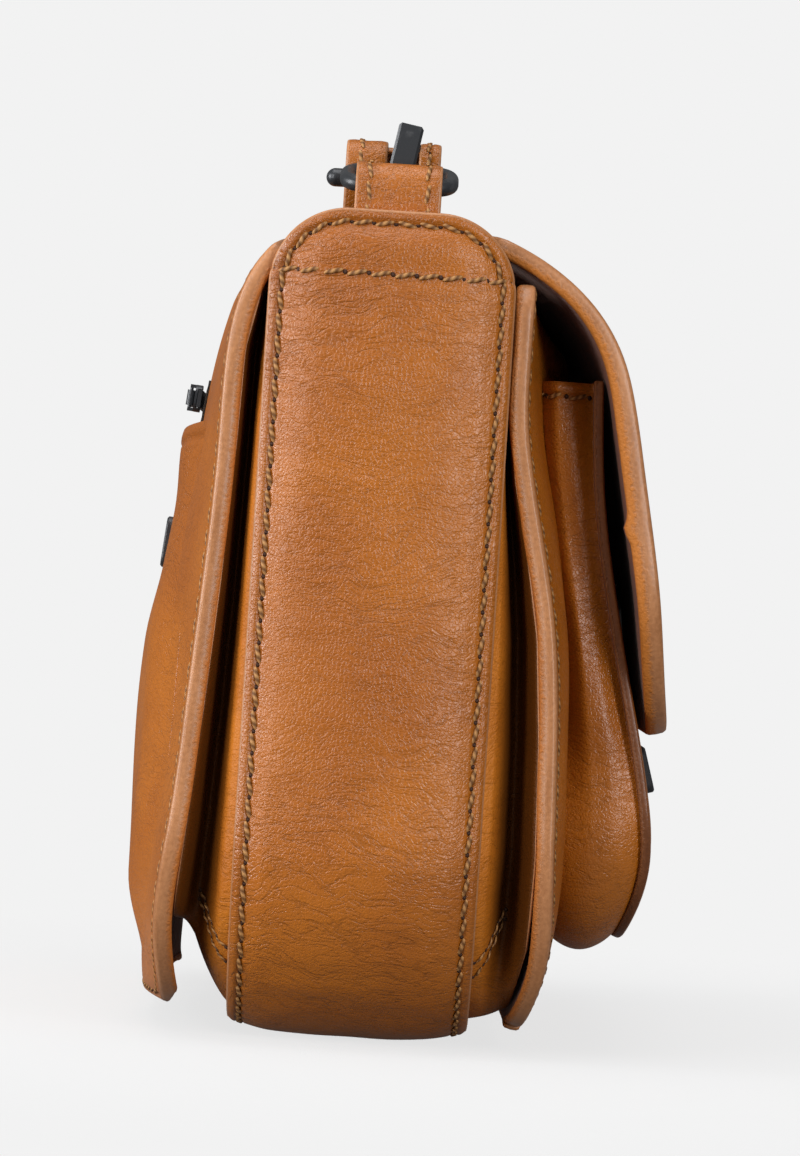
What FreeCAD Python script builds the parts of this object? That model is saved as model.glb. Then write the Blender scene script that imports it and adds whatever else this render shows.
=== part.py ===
import FreeCAD, Part
import math
import os

V = FreeCAD.Vector

# Frame: X runs along the bag, the front faces -Y, +Z is up.
# The origin is the middle of the flat underside. All sizes are in mm.

# Body of the bag
BAG_LENGTH = 210.0            # over the outer faces of the two ends
BAG_HEIGHT = 168.6            # underside to the rounded top of the end strip
STRIP_WIDTH = 49.0            # the strip that runs down one end, under and up the other
STRIP_THICK = 2.0
STRIP_CROWN = 2.5             # how far the strip's edges fall back from its middle
STRIP_FLAT = 36.0             # width of the flat middle of the strip
BASE_RADIUS = 45.0            # rounding of the bottom corners
STRIP_SHOULDER = 0.89         # share of the height where the rounded top begins
SHOULDER_MID = (0.82, 0.58)   # shares of half width and of the rise on the shoulder's curve
SHOULDER_END = (0.42, 0.93)

# Leather thicknesses and clearances
PANEL_THICK = 3.8
FOLD_THICK = 1.0
POCKET_THICK = 1.9
DIVIDER_THICK = 1.2
LEATHER_GAP = 0.3             # air between leather pieces that are sewn together
METAL_GAP = 0.2               # air round metal pieces

# Panels
PANEL_INSET = 5.0             # panel edge inside the strip's outer line
FRONT_TOP = 0.929             # top of the front panel, share of the height
FRONT_TOP_RADIUS = 8.0
BACK_BULGE = 7.0              # how far the back swells out at its middle
BACK_FLAT = 112.0             # length of the flat middle of the back
BULGE_FULLNESS = 0.8          # below 1 the swelling reaches further up and down

# Side lines of the panels as (distance out from the strip's edge, share of height)
BACK_LINE = [(13.7, 0.030), (15.7, 0.135), (13.7, 0.262), (11.7, 0.404), (10.0, 0.545),
             (8.5, 0.718), (7.9, 0.830), (5.0, 0.910), (0.7, 0.952), (-3.5, 0.973)]
FRONT_LINE = [(7.9, 0.030), (10.8, 0.130), (11.3, 0.240), (10.5, 0.385), (8.9, 0.505),
              (6.3, 0.590), (2.6, 0.690), (0.7, 0.760), (0.4, 0.840), (0.5, 0.929)]

# Folded side gussets
FOLD_DEPTH = 16.0             # how deep the fold goes in from the strip's outer line
FOLD_REAR_LIFT = 13.0         # the rear gusset sits this far above the panel's foot
FOLD_FOLLOW = 0.6             # share of that lift that the fold itself follows
FOLD_TOP = 0.86               # top of the rear gusset, share of the height
FOLD_FRONT_TOP = 0.66         # top of the front gusset, share of the height
REAR_DIVIDER_TOP = 0.82
FRONT_DIVIDER_TOP = 0.54
FRONT_DIVIDER_SHIFT = 1.2     # the front wall hangs this far inside the fold's middle

# Front pocket: depth from the front panel's face as (depth, share of height)
POCKET_LENGTH = 164.0
POCKET_TOP = 0.820
POCKET_FOOT = 0.140
POCKET_RADIUS = 30.0
POCKET_LINE = [(16.6, 0.140), (18.7, 0.180), (20.2, 0.240), (20.0, 0.285), (17.2, 0.395),
               (15.2, 0.470), (14.0, 0.555), (14.6, 0.680), (15.4, 0.820)]
POCKET_BELLY = 2.5            # swelling of the pocket below the flap
BELLY_SPREAD = 0.75           # share of the half length over which the swelling fades out
BELLY_LOW = 0.14
BELLY_HIGH = 0.47

# Flap: a waist between the ring tabs, full length in front of them
FLAP_LENGTH = 192.0
FLAP_WAIST = 148.0
FLAP_NOTCH_FRONT = 18.5       # front end of the notch, in front of the strip's centre
FLAP_NOTCH_RADIUS = 6.0
FLAP_CORNER = 34.0
FLAP_FOOT = 0.405             # lower edge, share of the height
FLAP_LEATHER = 2.4
FLAP_LINING = 1.1
FLAP_LAYER_GAP = 0.1
FLAP_HINGE_GAP = 0.4
# Outer line from the hinge to the lower edge as (distance behind the strip's front edge,
# share of height)
FLAP_LINE = [(45.5, 0.9727), (31.0, 0.9964), (16.5, 1.0006), (1.5, 0.9786), (-9.0, 0.9454),
             (-17.3, 0.9015), (-23.2, 0.8446), (-25.8, 0.7954), (-28.6, 0.7153),
             (-33.6, 0.5552), (-37.2, 0.4187), (-38.4, 0.3891)]

# Rear zip pocket
BACK_POCKET_LENGTH = 168.0
BACK_POCKET_TOP = 0.732
BACK_POCKET_FOOT = 0.070
BACK_POCKET_RADIUS = 34.0
BACK_POCKET_THICK = 2.2
ZIP_LENGTH = 118.0
ZIP_HEIGHT = 0.752            # middle of the zip, share of the height
ZIP_TAPE_WIDTH = 15.0
ZIP_TAPE_THICK = 0.6
ZIP_AIR = 0.4                 # air under the flat tape where the back is rounded
TOOTH_PITCH = 2.5
TOOTH_LENGTH = 1.4
TOOTH_WIDTH = 3.6
TOOTH_THICK = 0.8
SLIDER_LENGTH = 8.0
SLIDER_WIDTH = 5.6
SLIDER_SKIN = 0.5
SLIDER_START = 50.0           # slider at rest, from the middle towards the left end
PULLER_LENGTH = 17.0
PULLER_WIDTH = 3.2
PULLER_THICK = 0.8
BRIDGE_WIRE = 0.35            # radius of the small bridge that holds the puller

# Bare metal plates and the rivets behind them
BACK_PLATE = (48.0, 11.0, 1.8)       # length, height, thickness
BACK_PLATE_HEIGHT = 0.595
POCKET_PLATE = (44.0, 10.0, 1.6)
POCKET_PLATE_HEIGHT = 0.342
PLATE_GAP = 0.1
PLATE_BEVEL = 0.35
RIVET_RADIUS = 0.9
RIVET_HEAD_RADIUS = 2.2
RIVET_HEAD_THICK = 0.8
RIVET_HEAD_GAP = 0.3          # the leather behind a plate is rounded

# Magnet closure between the flap and the pocket
MAGNET_RADIUS = 7.5
MAGNET_HEIGHT = 0.535
CUP_WALL = 0.6
CUP_FLOOR = 0.6
MAGNET_SEAT = 0.6             # air under a cup: the leather is rounded
MAGNET_FIT = 0.1
MAGNET_GAP = 0.4

# Ring tabs, rings, hooks and strap at the two ends
TAB_WIDTH = 16.4
TAB_THICK = 1.7
TAB_HOLE = 2.9                # inner radius of the tab's fold
TAB_RISE = 5.8                # fold centre above the top of the strip
TAB_TAIL = 0.888              # lower end of the tab, share of the height
BACKING_THICK = 1.2
BACKING_WIDTH = 24.0
RING_WIRE = 1.7               # radius
RING_WIDTH = 20.6             # between wire centres, across the bag
RING_LONG = 12.0              # between wire centres, along the bag
RING_CORNER = 4.2
RING_TILT = 17.5              # degrees, inner side up
HOOK_CHANNEL = 3.55           # half of the hook's inner width
HOOK_BAR = 2.6
HOOK_WIDTH = 5.1
HOOK_SEAT = 0.8               # bottom of the hook below the ring wire's centre
HOOK_NOSE = 9.6               # nose above the ring wire's centre
HOOK_BACK = 7.2
HOOK_LEAN = 10.0              # degrees, nose towards the front
HOOK_EDGE = 0.5
GATE_PIN_RISE = 6.2
GATE_PIN_RADIUS = 0.6
GATE_THICK = 1.9
GATE_WIDTH = 2.4
GATE_SIDE_GAP = 0.25
CROSSBAR_RADIUS = 1.9
CROSSBAR_LENGTH = 27.0
CROSSBAR_BITE = 1.0           # how far the crossbar sinks into the hook's back
CROSSBAR_DROP = 1.2           # crossbar below the ring wire's centre
STRAP_WIDTH = 18.4
STRAP_THICK = 3.6
STRAP_FOLD = 2.4              # inner radius of the strap's fold
STRAP_RISE = 3.5              # the stiff fold stands this far above the crossbar
STRAP_OFFSET = 1.5            # the strap hangs a little towards the back
STRAP_SLOT = 9.0              # slot in the fold for the hook
SLOT_TIP = 10.0               # slot ends this far below the crossbar's centre
STRAP_BEND = 24.0             # inner bends of the stowed strap
LOOP_TIP = 11.0               # hole of a fold ends this far below its centre
LOOP_TAIL = 15.0              # the two layers meet this far below the fold's centre

# Stiffener on the floor of the bag
BOARD_THICK = 2.0
BOARD_MARGIN = 1.0

HALF = BAG_LENGTH / 2
EDGE = STRIP_WIDTH / 2
REACH = BAG_LENGTH            # long enough to pass right through the bag


def face_of(edges):
    """Face inside a closed run of edges."""
    return Part.Face(Part.Wire(edges))


def polygon(points):
    """Face with straight sides through the points."""
    return Part.Face(Part.makePolygon(list(points) + [points[0]]))


def curve_through(points):
    """Smooth curve through the points."""
    curve = Part.BSplineCurve()
    curve.interpolate(points)
    return curve


def shifted(points, distance):
    """Points moved square to their smooth curve, to the right of its run in Y and Z."""
    curve = curve_through(points)
    moved = []
    for point in points:
        way = curve.tangent(curve.parameter(point))[0]
        moved.append(point + V(0, way.z, -way.y) * distance)
    return moved


def band_wire(outer, inner):
    """Closed wire between two smooth lines that run the same way."""
    first = curve_through(outer).toShape()
    second = curve_through(list(reversed(inner))).toShape()
    return Part.Wire([first, Part.makeLine(outer[-1], inner[-1]), second,
                      Part.makeLine(inner[0], outer[0])])


def along_x(wire, length):
    """Solid of a YZ outline, run along X and centred on the bag."""
    face = Part.Face(wire)
    face.translate(V(-length / 2, 0, 0))
    return face.extrude(V(length, 0, 0))


def lofted(section, stations):
    """Solid through outlines that change along X."""
    wires = []
    for x in stations:
        wire = section(x)
        wire.translate(V(x, 0, 0))
        wires.append(wire)
    return Part.makeLoft(wires, True, False)


def u_prism(half, foot, radius, top, top_radius=0.0):
    """Block whose XZ outline is a panel with rounded lower corners."""
    c = math.sqrt(0.5)
    low = foot + radius
    inner = half - radius
    turn = max(top_radius, 0.01)
    edges = [
        Part.makeLine(V(-inner, 0, foot), V(inner, 0, foot)),
        Part.Arc(V(inner, 0, foot), V(inner + radius * c, 0, low - radius * c),
                 V(half, 0, low)).toShape(),
        Part.makeLine(V(half, 0, low), V(half, 0, top - turn)),
        Part.Arc(V(half, 0, top - turn), V(half - turn + turn * c, 0, top - turn + turn * c),
                 V(half - turn, 0, top)).toShape(),
        Part.makeLine(V(half - turn, 0, top), V(turn - half, 0, top)),
        Part.Arc(V(turn - half, 0, top), V(turn - half - turn * c, 0, top - turn + turn * c),
                 V(-half, 0, top - turn)).toShape(),
        Part.makeLine(V(-half, 0, top - turn), V(-half, 0, low)),
        Part.Arc(V(-half, 0, low), V(-inner - radius * c, 0, low - radius * c),
                 V(-inner, 0, foot)).toShape(),
    ]
    face = face_of(edges)
    face.translate(V(0, -REACH, 0))
    return face.extrude(V(0, 2 * REACH, 0))


def box(x0, x1, y0, y1, z0, z1):
    """Block between two corners."""
    return Part.makeBox(x1 - x0, y1 - y0, z1 - z0, V(x0, y0, z0))


def mirrored(shape):
    """The same piece at the right-hand end."""
    return shape.mirror(V(0, 0, 0), V(1, 0, 0))


def smooth(t):
    """Ease from 0 to 1."""
    t = min(max(t, 0.0), 1.0)
    return t * t * (3 - 2 * t)


def height(share):
    """Height above the underside for a share of the bag's height."""
    return share * BAG_HEIGHT


def value_at(line, share):
    """First number of a side line at a share of the height, between its points."""
    for (d0, s0), (d1, s1) in zip(line, line[1:]):
        if share <= s1:
            return d0 + (d1 - d0) * max(share - s0, 0.0) / (s1 - s0)
    return line[-1][0]


# The end strip: crowned section swept down one end, under the bag and up the other

def strip_section():
    """Section of the strip in the plane where the left end starts to curve."""
    flat = STRIP_FLAT / 2
    run = EDGE - flat
    turn = (run * run + STRIP_CROWN * STRIP_CROWN) / (2 * STRIP_CROWN)
    sweep = math.asin(run / turn) / 2
    mid_run = turn * math.sin(sweep)
    mid_drop = turn * (1 - math.cos(sweep))

    def at(y, inward):
        return V(inward - HALF, y, BASE_RADIUS)

    def crown(side, depth):
        return Part.Arc(at(side * flat, depth), at(side * (flat + mid_run), depth + mid_drop),
                        at(side * EDGE, depth + STRIP_CROWN)).toShape()

    deep = STRIP_THICK
    edges = [crown(-1, 0.0), Part.makeLine(at(-flat, 0.0), at(flat, 0.0)), crown(1, 0.0),
             Part.makeLine(at(EDGE, STRIP_CROWN), at(EDGE, STRIP_CROWN + deep)), crown(1, deep),
             Part.makeLine(at(flat, deep), at(-flat, deep)), crown(-1, deep),
             Part.makeLine(at(-EDGE, STRIP_CROWN + deep), at(-EDGE, STRIP_CROWN))]
    return Part.Face(Part.Wire(Part.__sortEdges__(edges)))


def make_strip():
    """Strip with its two rounded top ends."""
    section = strip_section()
    upright = section.extrude(V(0, 0, BAG_HEIGHT - BASE_RADIUS))
    pivot = V(BASE_RADIUS - HALF, 0, BASE_RADIUS)
    corner = section.revolve(pivot, V(0, -1, 0), 90)
    start = section.copy()
    start.rotate(pivot, V(0, -1, 0), 90)
    floor = start.extrude(V(BAG_LENGTH - 2 * BASE_RADIUS, 0, 0))
    band = floor.multiFuse([upright, corner, mirrored(upright), mirrored(corner)])
    band = band.removeSplitter()
    shoulder = height(STRIP_SHOULDER)
    rise = BAG_HEIGHT - shoulder

    def on_top(share, side):
        return V(0, side * share[0] * EDGE, shoulder + share[1] * rise)

    def round_shoulder(side):
        return Part.Arc(V(0, side * EDGE, shoulder), on_top(SHOULDER_MID, side),
                        on_top(SHOULDER_END, side)).toShape()

    crest = Part.Arc(on_top(SHOULDER_END, 1), V(0, 0, BAG_HEIGHT), on_top(SHOULDER_END, -1)).toShape()
    sides = Part.makePolygon([V(0, EDGE, shoulder), V(0, EDGE, -REACH), V(0, -EDGE, -REACH),
                              V(0, -EDGE, shoulder)]).Edges
    edges = sides + [round_shoulder(1), crest, round_shoulder(-1)]
    top = Part.Face(Part.Wire(Part.__sortEdges__(edges)))
    top.translate(V(-REACH, 0, 0))
    return band.common(top.extrude(V(2 * REACH, 0, 0)))


# Panels

def back_outer(x):
    """Outer line of the back at a station along the bag, from the foot to the hinge."""
    side = smooth((HALF - PANEL_INSET - abs(x)) / (HALF - PANEL_INSET - BACK_FLAT / 2))
    low = BACK_LINE[0][1]
    high = BACK_LINE[-1][1]
    points = []
    for out, share in BACK_LINE:
        swell = max(math.sin(math.pi * (share - low) / (high - low)), 0.0) ** BULGE_FULLNESS
        points.append(V(0, EDGE + out + BACK_BULGE * swell * side, height(share)))
    return points


def back_layer(start, thick):
    """Wire maker for a layer that begins some distance outside the back's outer line."""
    def section(x):
        points = back_outer(x)
        outer = shifted(points, start + thick)
        inner = shifted(points, start)
        return band_wire(outer, inner)
    return section


BACK_STATIONS = [-100, -92, -84, -76, -68, -34, 0, 34, 68, 76, 84, 92, 100]


def back_stations():
    """Stations along the panel, spread over its true length."""
    share = (HALF - PANEL_INSET) / BACK_STATIONS[-1]
    return [x * share for x in BACK_STATIONS]


def make_back_panel():
    """Back panel from its free lower edge to the hinge line of the flap."""
    panel = lofted(back_layer(-PANEL_THICK, PANEL_THICK), back_stations())
    panel = panel.common(u_prism(HALF - PANEL_INSET, PANEL_INSET, BASE_RADIUS - PANEL_INSET,
                                 2 * BAG_HEIGHT))
    return panel.cut(box(-REACH, REACH, -REACH, hinge_point().y, 0, 2 * BAG_HEIGHT))


def pocket_lift():
    """Air between the back panel and the rear pocket: room for the zip tape."""
    return ZIP_AIR + ZIP_TAPE_THICK + LEATHER_GAP


def make_back_pocket():
    """Patch that forms the rear pocket, below the zip."""
    half = BACK_POCKET_LENGTH / 2
    patch = lofted(back_layer(pocket_lift(), BACK_POCKET_THICK), back_stations())
    return patch.common(u_prism(half, height(BACK_POCKET_FOOT), BACK_POCKET_RADIUS,
                                height(BACK_POCKET_TOP)))


def face_at(points, share, outward):
    """Point of a smooth side line at a share of the height, and the way out from it."""
    curve = curve_through(points)
    cutter = box(-1, 1, -REACH, REACH, -REACH, height(share))
    hit = curve.toShape().cut(cutter)
    low = min(hit.Vertexes, key=lambda v: abs(v.Z - height(share))).Point
    way = curve.tangent(curve.parameter(low))[0]
    return low, V(0, way.z, -way.y) * outward


def placed(shape, point, way):
    """Piece made on the XY plane, set on a leather face with its Z axis pointing out."""
    side = V(1, 0, 0)
    turn = FreeCAD.Rotation(side, way.cross(side), way, "ZXY")
    shape = shape.copy()
    shape.Placement = FreeCAD.Placement(point, turn).multiply(shape.Placement)
    return shape


def front_inner():
    """Inner line of the front panel from the foot to its top edge."""
    return [V(0, -EDGE - out, height(share)) for out, share in FRONT_LINE]


def front_outer(extra=0.0):
    """Outer line of the front panel, with an optional distance in front of it."""
    return shifted(front_inner(), -PANEL_THICK - extra)


def make_front_panel():
    """Front panel with rounded lower and upper corners."""
    length = BAG_LENGTH - 2 * PANEL_INSET
    panel = along_x(band_wire(front_outer(), front_inner()), length)
    return panel.common(u_prism(length / 2, PANEL_INSET, BASE_RADIUS - PANEL_INSET,
                                height(FRONT_TOP), FRONT_TOP_RADIUS))


def pocket_outer(x, inward=0.0):
    """Outer line of the front pocket at a station, or a line inside it."""
    half = POCKET_LENGTH / 2
    side = smooth((half - abs(x)) / (half * BELLY_SPREAD))
    points = []
    for depth, share in POCKET_LINE:
        t = (share - BELLY_LOW) / (BELLY_HIGH - BELLY_LOW)
        belly = math.sin(math.pi * t) ** 2 if 0 < t < 1 else 0.0
        y = -EDGE - value_at(FRONT_LINE, share) - PANEL_THICK - depth
        points.append(V(0, y - POCKET_BELLY * belly * side, height(share)))
    if inward:
        return shifted(points, inward)
    return points


def pocket_stations():
    """Stations along the front pocket."""
    return [POCKET_LENGTH / 2 * s for s in (-1, -0.8, -0.6, -0.4, 0, 0.4, 0.6, 0.8, 1)]


def make_pocket_panel():
    """Front of the front pocket."""
    def section(x):
        return band_wire(pocket_outer(x), pocket_outer(x, POCKET_THICK))

    panel = lofted(section, pocket_stations())
    return panel.common(u_prism(POCKET_LENGTH / 2, height(POCKET_FOOT), POCKET_RADIUS,
                                2 * BAG_HEIGHT))


def make_pocket_gusset():
    """U-shaped wall between the front panel and the front of the pocket."""
    inset = LEATHER_GAP * 3
    half = POCKET_LENGTH / 2 - inset
    foot = height(POCKET_FOOT) + inset
    outer = u_prism(half, foot, POCKET_RADIUS - inset, height(POCKET_TOP) - LEATHER_GAP)
    wall = POCKET_THICK
    inner = u_prism(half - wall, foot + wall, POCKET_RADIUS - inset - wall, 2 * BAG_HEIGHT)
    near = front_outer(LEATHER_GAP)

    def section(x):
        return band_wire(pocket_outer(x, POCKET_THICK + LEATHER_GAP), near)

    return outer.cut(inner).common(lofted(section, pocket_stations()))


# Folded side gussets

def fold_path(point, inward):
    """Position of a point of the U path: its place, measured inwards from the outer line."""
    kind, value = point
    reach = BASE_RADIUS
    if kind == "side":
        return V(inward - HALF, 0, value)
    if kind == "corner":
        a = math.radians(value)
        away = reach - inward
        return V(reach - HALF - away * math.cos(a), 0, reach - away * math.sin(a))
    return V(value, 0, inward)


def fold_gusset(line, sign, top, lift, panel_side):
    """Folded strip between the end strip and a panel, as straight stretches of one V section."""
    half_path = [("side", top)]
    half_path += [("side", BASE_RADIUS + (top - BASE_RADIUS) * s) for s in (0.75, 0.5, 0.25, 0)]
    half_path += [("corner", a) for a in (22.5, 45.0, 67.5, 90.0)]
    wires = []
    for point in half_path + [("floor", 0.0)]:
        wires.append(fold_section(point, line, sign, lift, panel_side, False))
    for point in reversed(half_path):
        wires.append(fold_section(point, line, sign, lift, panel_side, True))
    return Part.makeLoft(wires, True, True)


def fold_section(point, line, sign, lift, panel_side, right):
    """V section of a folded gusset at one place of the U path."""
    kind, value = point
    share = {"side": 0.0, "corner": value / 90.0, "floor": 1.0}[kind]
    raise_by = lift * smooth(share)
    start = STRIP_CROWN + LEATHER_GAP
    end = PANEL_INSET + LEATHER_GAP + raise_by
    deep = FOLD_DEPTH + raise_by * FOLD_FOLLOW
    z = fold_path(point, end).z
    inner = EDGE + value_at(line, z / BAG_HEIGHT) - panel_side - LEATHER_GAP
    near = EDGE + LEATHER_GAP
    middle = fold_middle(line, panel_side, z)
    corners = [(near, start), (near + FOLD_THICK, start), (middle, deep),
               (inner - FOLD_THICK, end), (inner, end), (middle, deep + 2 * FOLD_THICK)]
    points = []
    for y, inward in corners:
        place = fold_path(point, inward)
        x = -place.x if right else place.x
        points.append(V(x, sign * y, place.z))
    return Part.makePolygon(points + [points[0]])


def fold_middle(line, panel_side, z):
    """Distance of a gusset's fold from the bag's middle at some height."""
    inner = EDGE + value_at(line, z / BAG_HEIGHT) - panel_side - LEATHER_GAP
    return (EDGE + LEATHER_GAP + inner) / 2


def make_divider(sign, line, panel_side, lift, top_share, shift):
    """Flat inner wall that hangs in the fold of a gusset."""
    clear = FOLD_DEPTH + 2 * FOLD_THICK + 2 * LEATHER_GAP
    reach = HALF - clear
    foot = clear + FOLD_FOLLOW * lift
    top = height(top_share)
    low = fold_middle(line, panel_side, foot + BASE_RADIUS) - shift
    high = fold_middle(line, panel_side, top) - shift
    t = DIVIDER_THICK / 2
    wall = polygon([V(0, sign * (low - t), foot), V(0, sign * (low + t), foot),
                    V(0, sign * (high + t), top), V(0, sign * (high - t), top)])
    wall.translate(V(-reach, 0, 0))
    slab = wall.extrude(V(2 * reach, 0, 0))
    return slab.common(u_prism(reach, foot, BASE_RADIUS - PANEL_INSET, 2 * BAG_HEIGHT))


# Flap

def flap_outer():
    """Outer line of the flap from the hinge over the top and down the front."""
    return [V(0, back - EDGE, height(share)) for back, share in FLAP_LINE]


def hinge_point():
    """Hinge line of the flap: where its outer line starts."""
    return flap_outer()[0]


def flap_layer(start, thick):
    """One layer of the flap, cut to its waist, notches and rounded lower corners."""
    points = flap_outer()
    layer = along_x(band_wire(shifted(points, -start), shifted(points, -start - thick)),
                    FLAP_LENGTH)
    half = FLAP_LENGTH / 2
    layer = layer.common(u_prism(half, height(FLAP_FOOT), FLAP_CORNER, 2 * BAG_HEIGHT))
    hinge = hinge_point()
    waist = FLAP_WAIST / 2
    notch = box(waist, REACH, -FLAP_NOTCH_FRONT, hinge.y + REACH,
                height(STRIP_SHOULDER), 2 * BAG_HEIGHT)
    corner = [e for e in notch.Edges
              if abs(e.CenterOfMass.x - waist) < 0.01
              and abs(e.CenterOfMass.y + FLAP_NOTCH_FRONT) < 0.01]
    notch = notch.makeFillet(FLAP_NOTCH_RADIUS, corner)
    layer = layer.cut(notch).cut(mirrored(notch))
    seam = box(-REACH, REACH, hinge.y - FLAP_HINGE_GAP, hinge.y + REACH,
               hinge.z - REACH, hinge.z + REACH)
    return layer.cut(seam)


# Metal and strap at one end

def fold_crown(centre, radius, rise):
    """Edges over a bar from its left side to its right: up, half round and down again."""
    top = centre + V(0, 0, rise)
    side = V(radius, 0, 0)
    edges = [Part.Arc(top - side, top + V(0, 0, radius), top + side).toShape()]
    if rise > 0:
        edges = [Part.makeLine(centre - side, top - side)] + edges
        edges += [Part.makeLine(top + side, centre + side)]
    return edges


def loop_profile(centre, inner, outer, tail0, tail1, tail_top, tail_foot, rise=0.0):
    """XZ outline of a leather strip folded over a bar, with the two layers meeting below."""
    tip = V((tail0 + tail1) / 2, 0, centre.z - LOOP_TIP)
    skin = face_of(fold_crown(centre, outer, rise) + [
        Part.makeLine(centre + V(outer, 0, 0), V(tail1, 0, tail_top)),
        Part.makeLine(V(tail1, 0, tail_top), V(tail1, 0, tail_foot)),
        Part.makeLine(V(tail1, 0, tail_foot), V(tail0, 0, tail_foot)),
        Part.makeLine(V(tail0, 0, tail_foot), V(tail0, 0, tail_top)),
        Part.makeLine(V(tail0, 0, tail_top), centre + V(-outer, 0, 0)),
    ])
    hole = face_of(fold_crown(centre, inner, rise) + [
        Part.makeLine(centre + V(inner, 0, 0), tip),
        Part.makeLine(tip, centre + V(-inner, 0, 0)),
    ])
    return skin.cut(hole)


def across(face, width, middle=0.0):
    """Solid of an XZ outline, run across the bag."""
    face = face.copy()
    face.translate(V(0, middle - width / 2, 0))
    return face.extrude(V(0, width, 0))


TAB_RADIUS = TAB_HOLE + TAB_THICK
TAB_FACE = STRIP_THICK + LEATHER_GAP - HALF
TAB_AXIS = V(TAB_FACE + TAB_RADIUS, 0, BAG_HEIGHT + TAB_RISE)


def ring_wire_centre():
    """Middle of the inner side of the left ring."""
    tilt = math.radians(RING_TILT)
    return TAB_AXIS + V(RING_LONG * math.cos(tilt), 0, RING_LONG * math.sin(tilt))


def crossbar_centre():
    """Middle of the bar that the strap folds over."""
    wire = ring_wire_centre()
    out = HOOK_CHANNEL + HOOK_BAR + CROSSBAR_RADIUS - CROSSBAR_BITE
    return wire + V(out, 0, -CROSSBAR_DROP)


def gate_pin_centre():
    """Pin of the hook's gate before the hook leans."""
    return ring_wire_centre() + V(HOOK_CHANNEL + HOOK_BAR / 2, 0, GATE_PIN_RISE)


def leaned(shape):
    """Piece of the hook, leaned over about the line of the bag through the crossbar."""
    shape = shape.copy()
    shape.rotate(crossbar_centre(), V(1, 0, 0), HOOK_LEAN)
    return shape


def make_tab():
    """Folded leather tab that holds the left ring."""
    width = 2 * TAB_THICK
    face = loop_profile(TAB_AXIS, TAB_HOLE, TAB_RADIUS, TAB_FACE, TAB_FACE + width,
                        TAB_AXIS.z - LOOP_TAIL, height(TAB_TAIL))
    return across(face, TAB_WIDTH)


def make_backing():
    """Leather patch inside the end, sewn through the tab to the strip."""
    x0 = TAB_FACE + 2 * TAB_THICK + LEATHER_GAP
    low = height(TAB_TAIL) - BACKING_THICK
    return box(x0, x0 + BACKING_THICK, -BACKING_WIDTH / 2, BACKING_WIDTH / 2, low,
               TAB_AXIS.z - LOOP_TAIL)


def make_ring():
    """Round-wire ring with straight sides, tilted up towards the middle of the bag."""
    r = RING_CORNER
    w = RING_WIDTH / 2
    start = Part.Face(Part.Wire(Part.makeCircle(RING_WIRE, V(0, r - w, 0), V(0, 1, 0))))
    pieces = [start.extrude(V(0, 2 * (w - r), 0))]
    turn = start.copy()
    turn.translate(V(0, 2 * (w - r), 0))
    pieces.append(turn.revolve(V(r, w - r, 0), V(0, 0, -1), 90))
    side = Part.Face(Part.Wire(Part.makeCircle(RING_WIRE, V(r, w, 0), V(1, 0, 0))))
    pieces.append(side.extrude(V(RING_LONG - 2 * r, 0, 0)))
    half = pieces[0].multiFuse(pieces[1:] + [p.mirror(V(0, 0, 0), V(0, 1, 0))
                                             for p in pieces[1:]])
    ring = half.fuse(pieces[0].mirror(V(RING_LONG / 2, 0, 0), V(1, 0, 0)))
    far = pieces[1].mirror(V(RING_LONG / 2, 0, 0), V(1, 0, 0))
    ring = ring.multiFuse([far, far.mirror(V(0, 0, 0), V(0, 1, 0))]).removeSplitter()
    ring.rotate(V(0, 0, 0), V(0, 1, 0), -RING_TILT)
    ring.translate(TAB_AXIS)
    return ring


def make_hook():
    """Hook that stands round the ring, with the crossbar for the strap on its back."""
    wire = ring_wire_centre()
    c = HOOK_CHANNEL
    b = HOOK_CHANNEL + HOOK_BAR
    seat = wire + V(0, 0, -HOOK_SEAT)
    nose = wire.z + HOOK_NOSE
    back = wire.z + HOOK_BACK
    outline = face_of([
        Part.Arc(seat + V(-b, 0, 0), seat + V(0, 0, -b), seat + V(b, 0, 0)).toShape(),
        Part.makeLine(seat + V(b, 0, 0), V(wire.x + b, 0, back)),
        Part.makeLine(V(wire.x + b, 0, back), V(wire.x + c, 0, back)),
        Part.makeLine(V(wire.x + c, 0, back), seat + V(c, 0, 0)),
        Part.Arc(seat + V(c, 0, 0), seat + V(0, 0, -c), seat + V(-c, 0, 0)).toShape(),
        Part.makeLine(seat + V(-c, 0, 0), V(wire.x - c, 0, nose)),
        Part.makeLine(V(wire.x - c, 0, nose), V(wire.x - b, 0, nose)),
        Part.makeLine(V(wire.x - b, 0, nose), seat + V(-b, 0, 0)),
    ])
    body = across(outline, HOOK_WIDTH)
    body = body.makeChamfer(HOOK_EDGE, [e for e in body.Edges
                                        if abs(abs(e.CenterOfMass.y) - HOOK_WIDTH / 2) < 0.01])
    pin = gate_pin_centre()
    slot_half = GATE_WIDTH / 2 + GATE_SIDE_GAP
    slot = box(pin.x - HOOK_BAR, pin.x + HOOK_BAR, -slot_half, slot_half,
               pin.z - GATE_THICK, pin.z + HOOK_BAR)
    hole = Part.makeCylinder(GATE_PIN_RADIUS + METAL_GAP / 2, 2 * HOOK_WIDTH,
                             pin - V(0, HOOK_WIDTH, 0), V(0, 1, 0))
    body = leaned(body.cut(slot).cut(hole))
    centre = crossbar_centre() + V(0, STRAP_OFFSET, 0)
    half = CROSSBAR_LENGTH / 2 - CROSSBAR_RADIUS
    bar = Part.makeCylinder(CROSSBAR_RADIUS, 2 * half, centre - V(0, half, 0), V(0, 1, 0))
    tips = [Part.makeSphere(CROSSBAR_RADIUS, centre + V(0, s * half, 0)) for s in (-1, 1)]
    return body.multiFuse([bar] + tips).removeSplitter()


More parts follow.
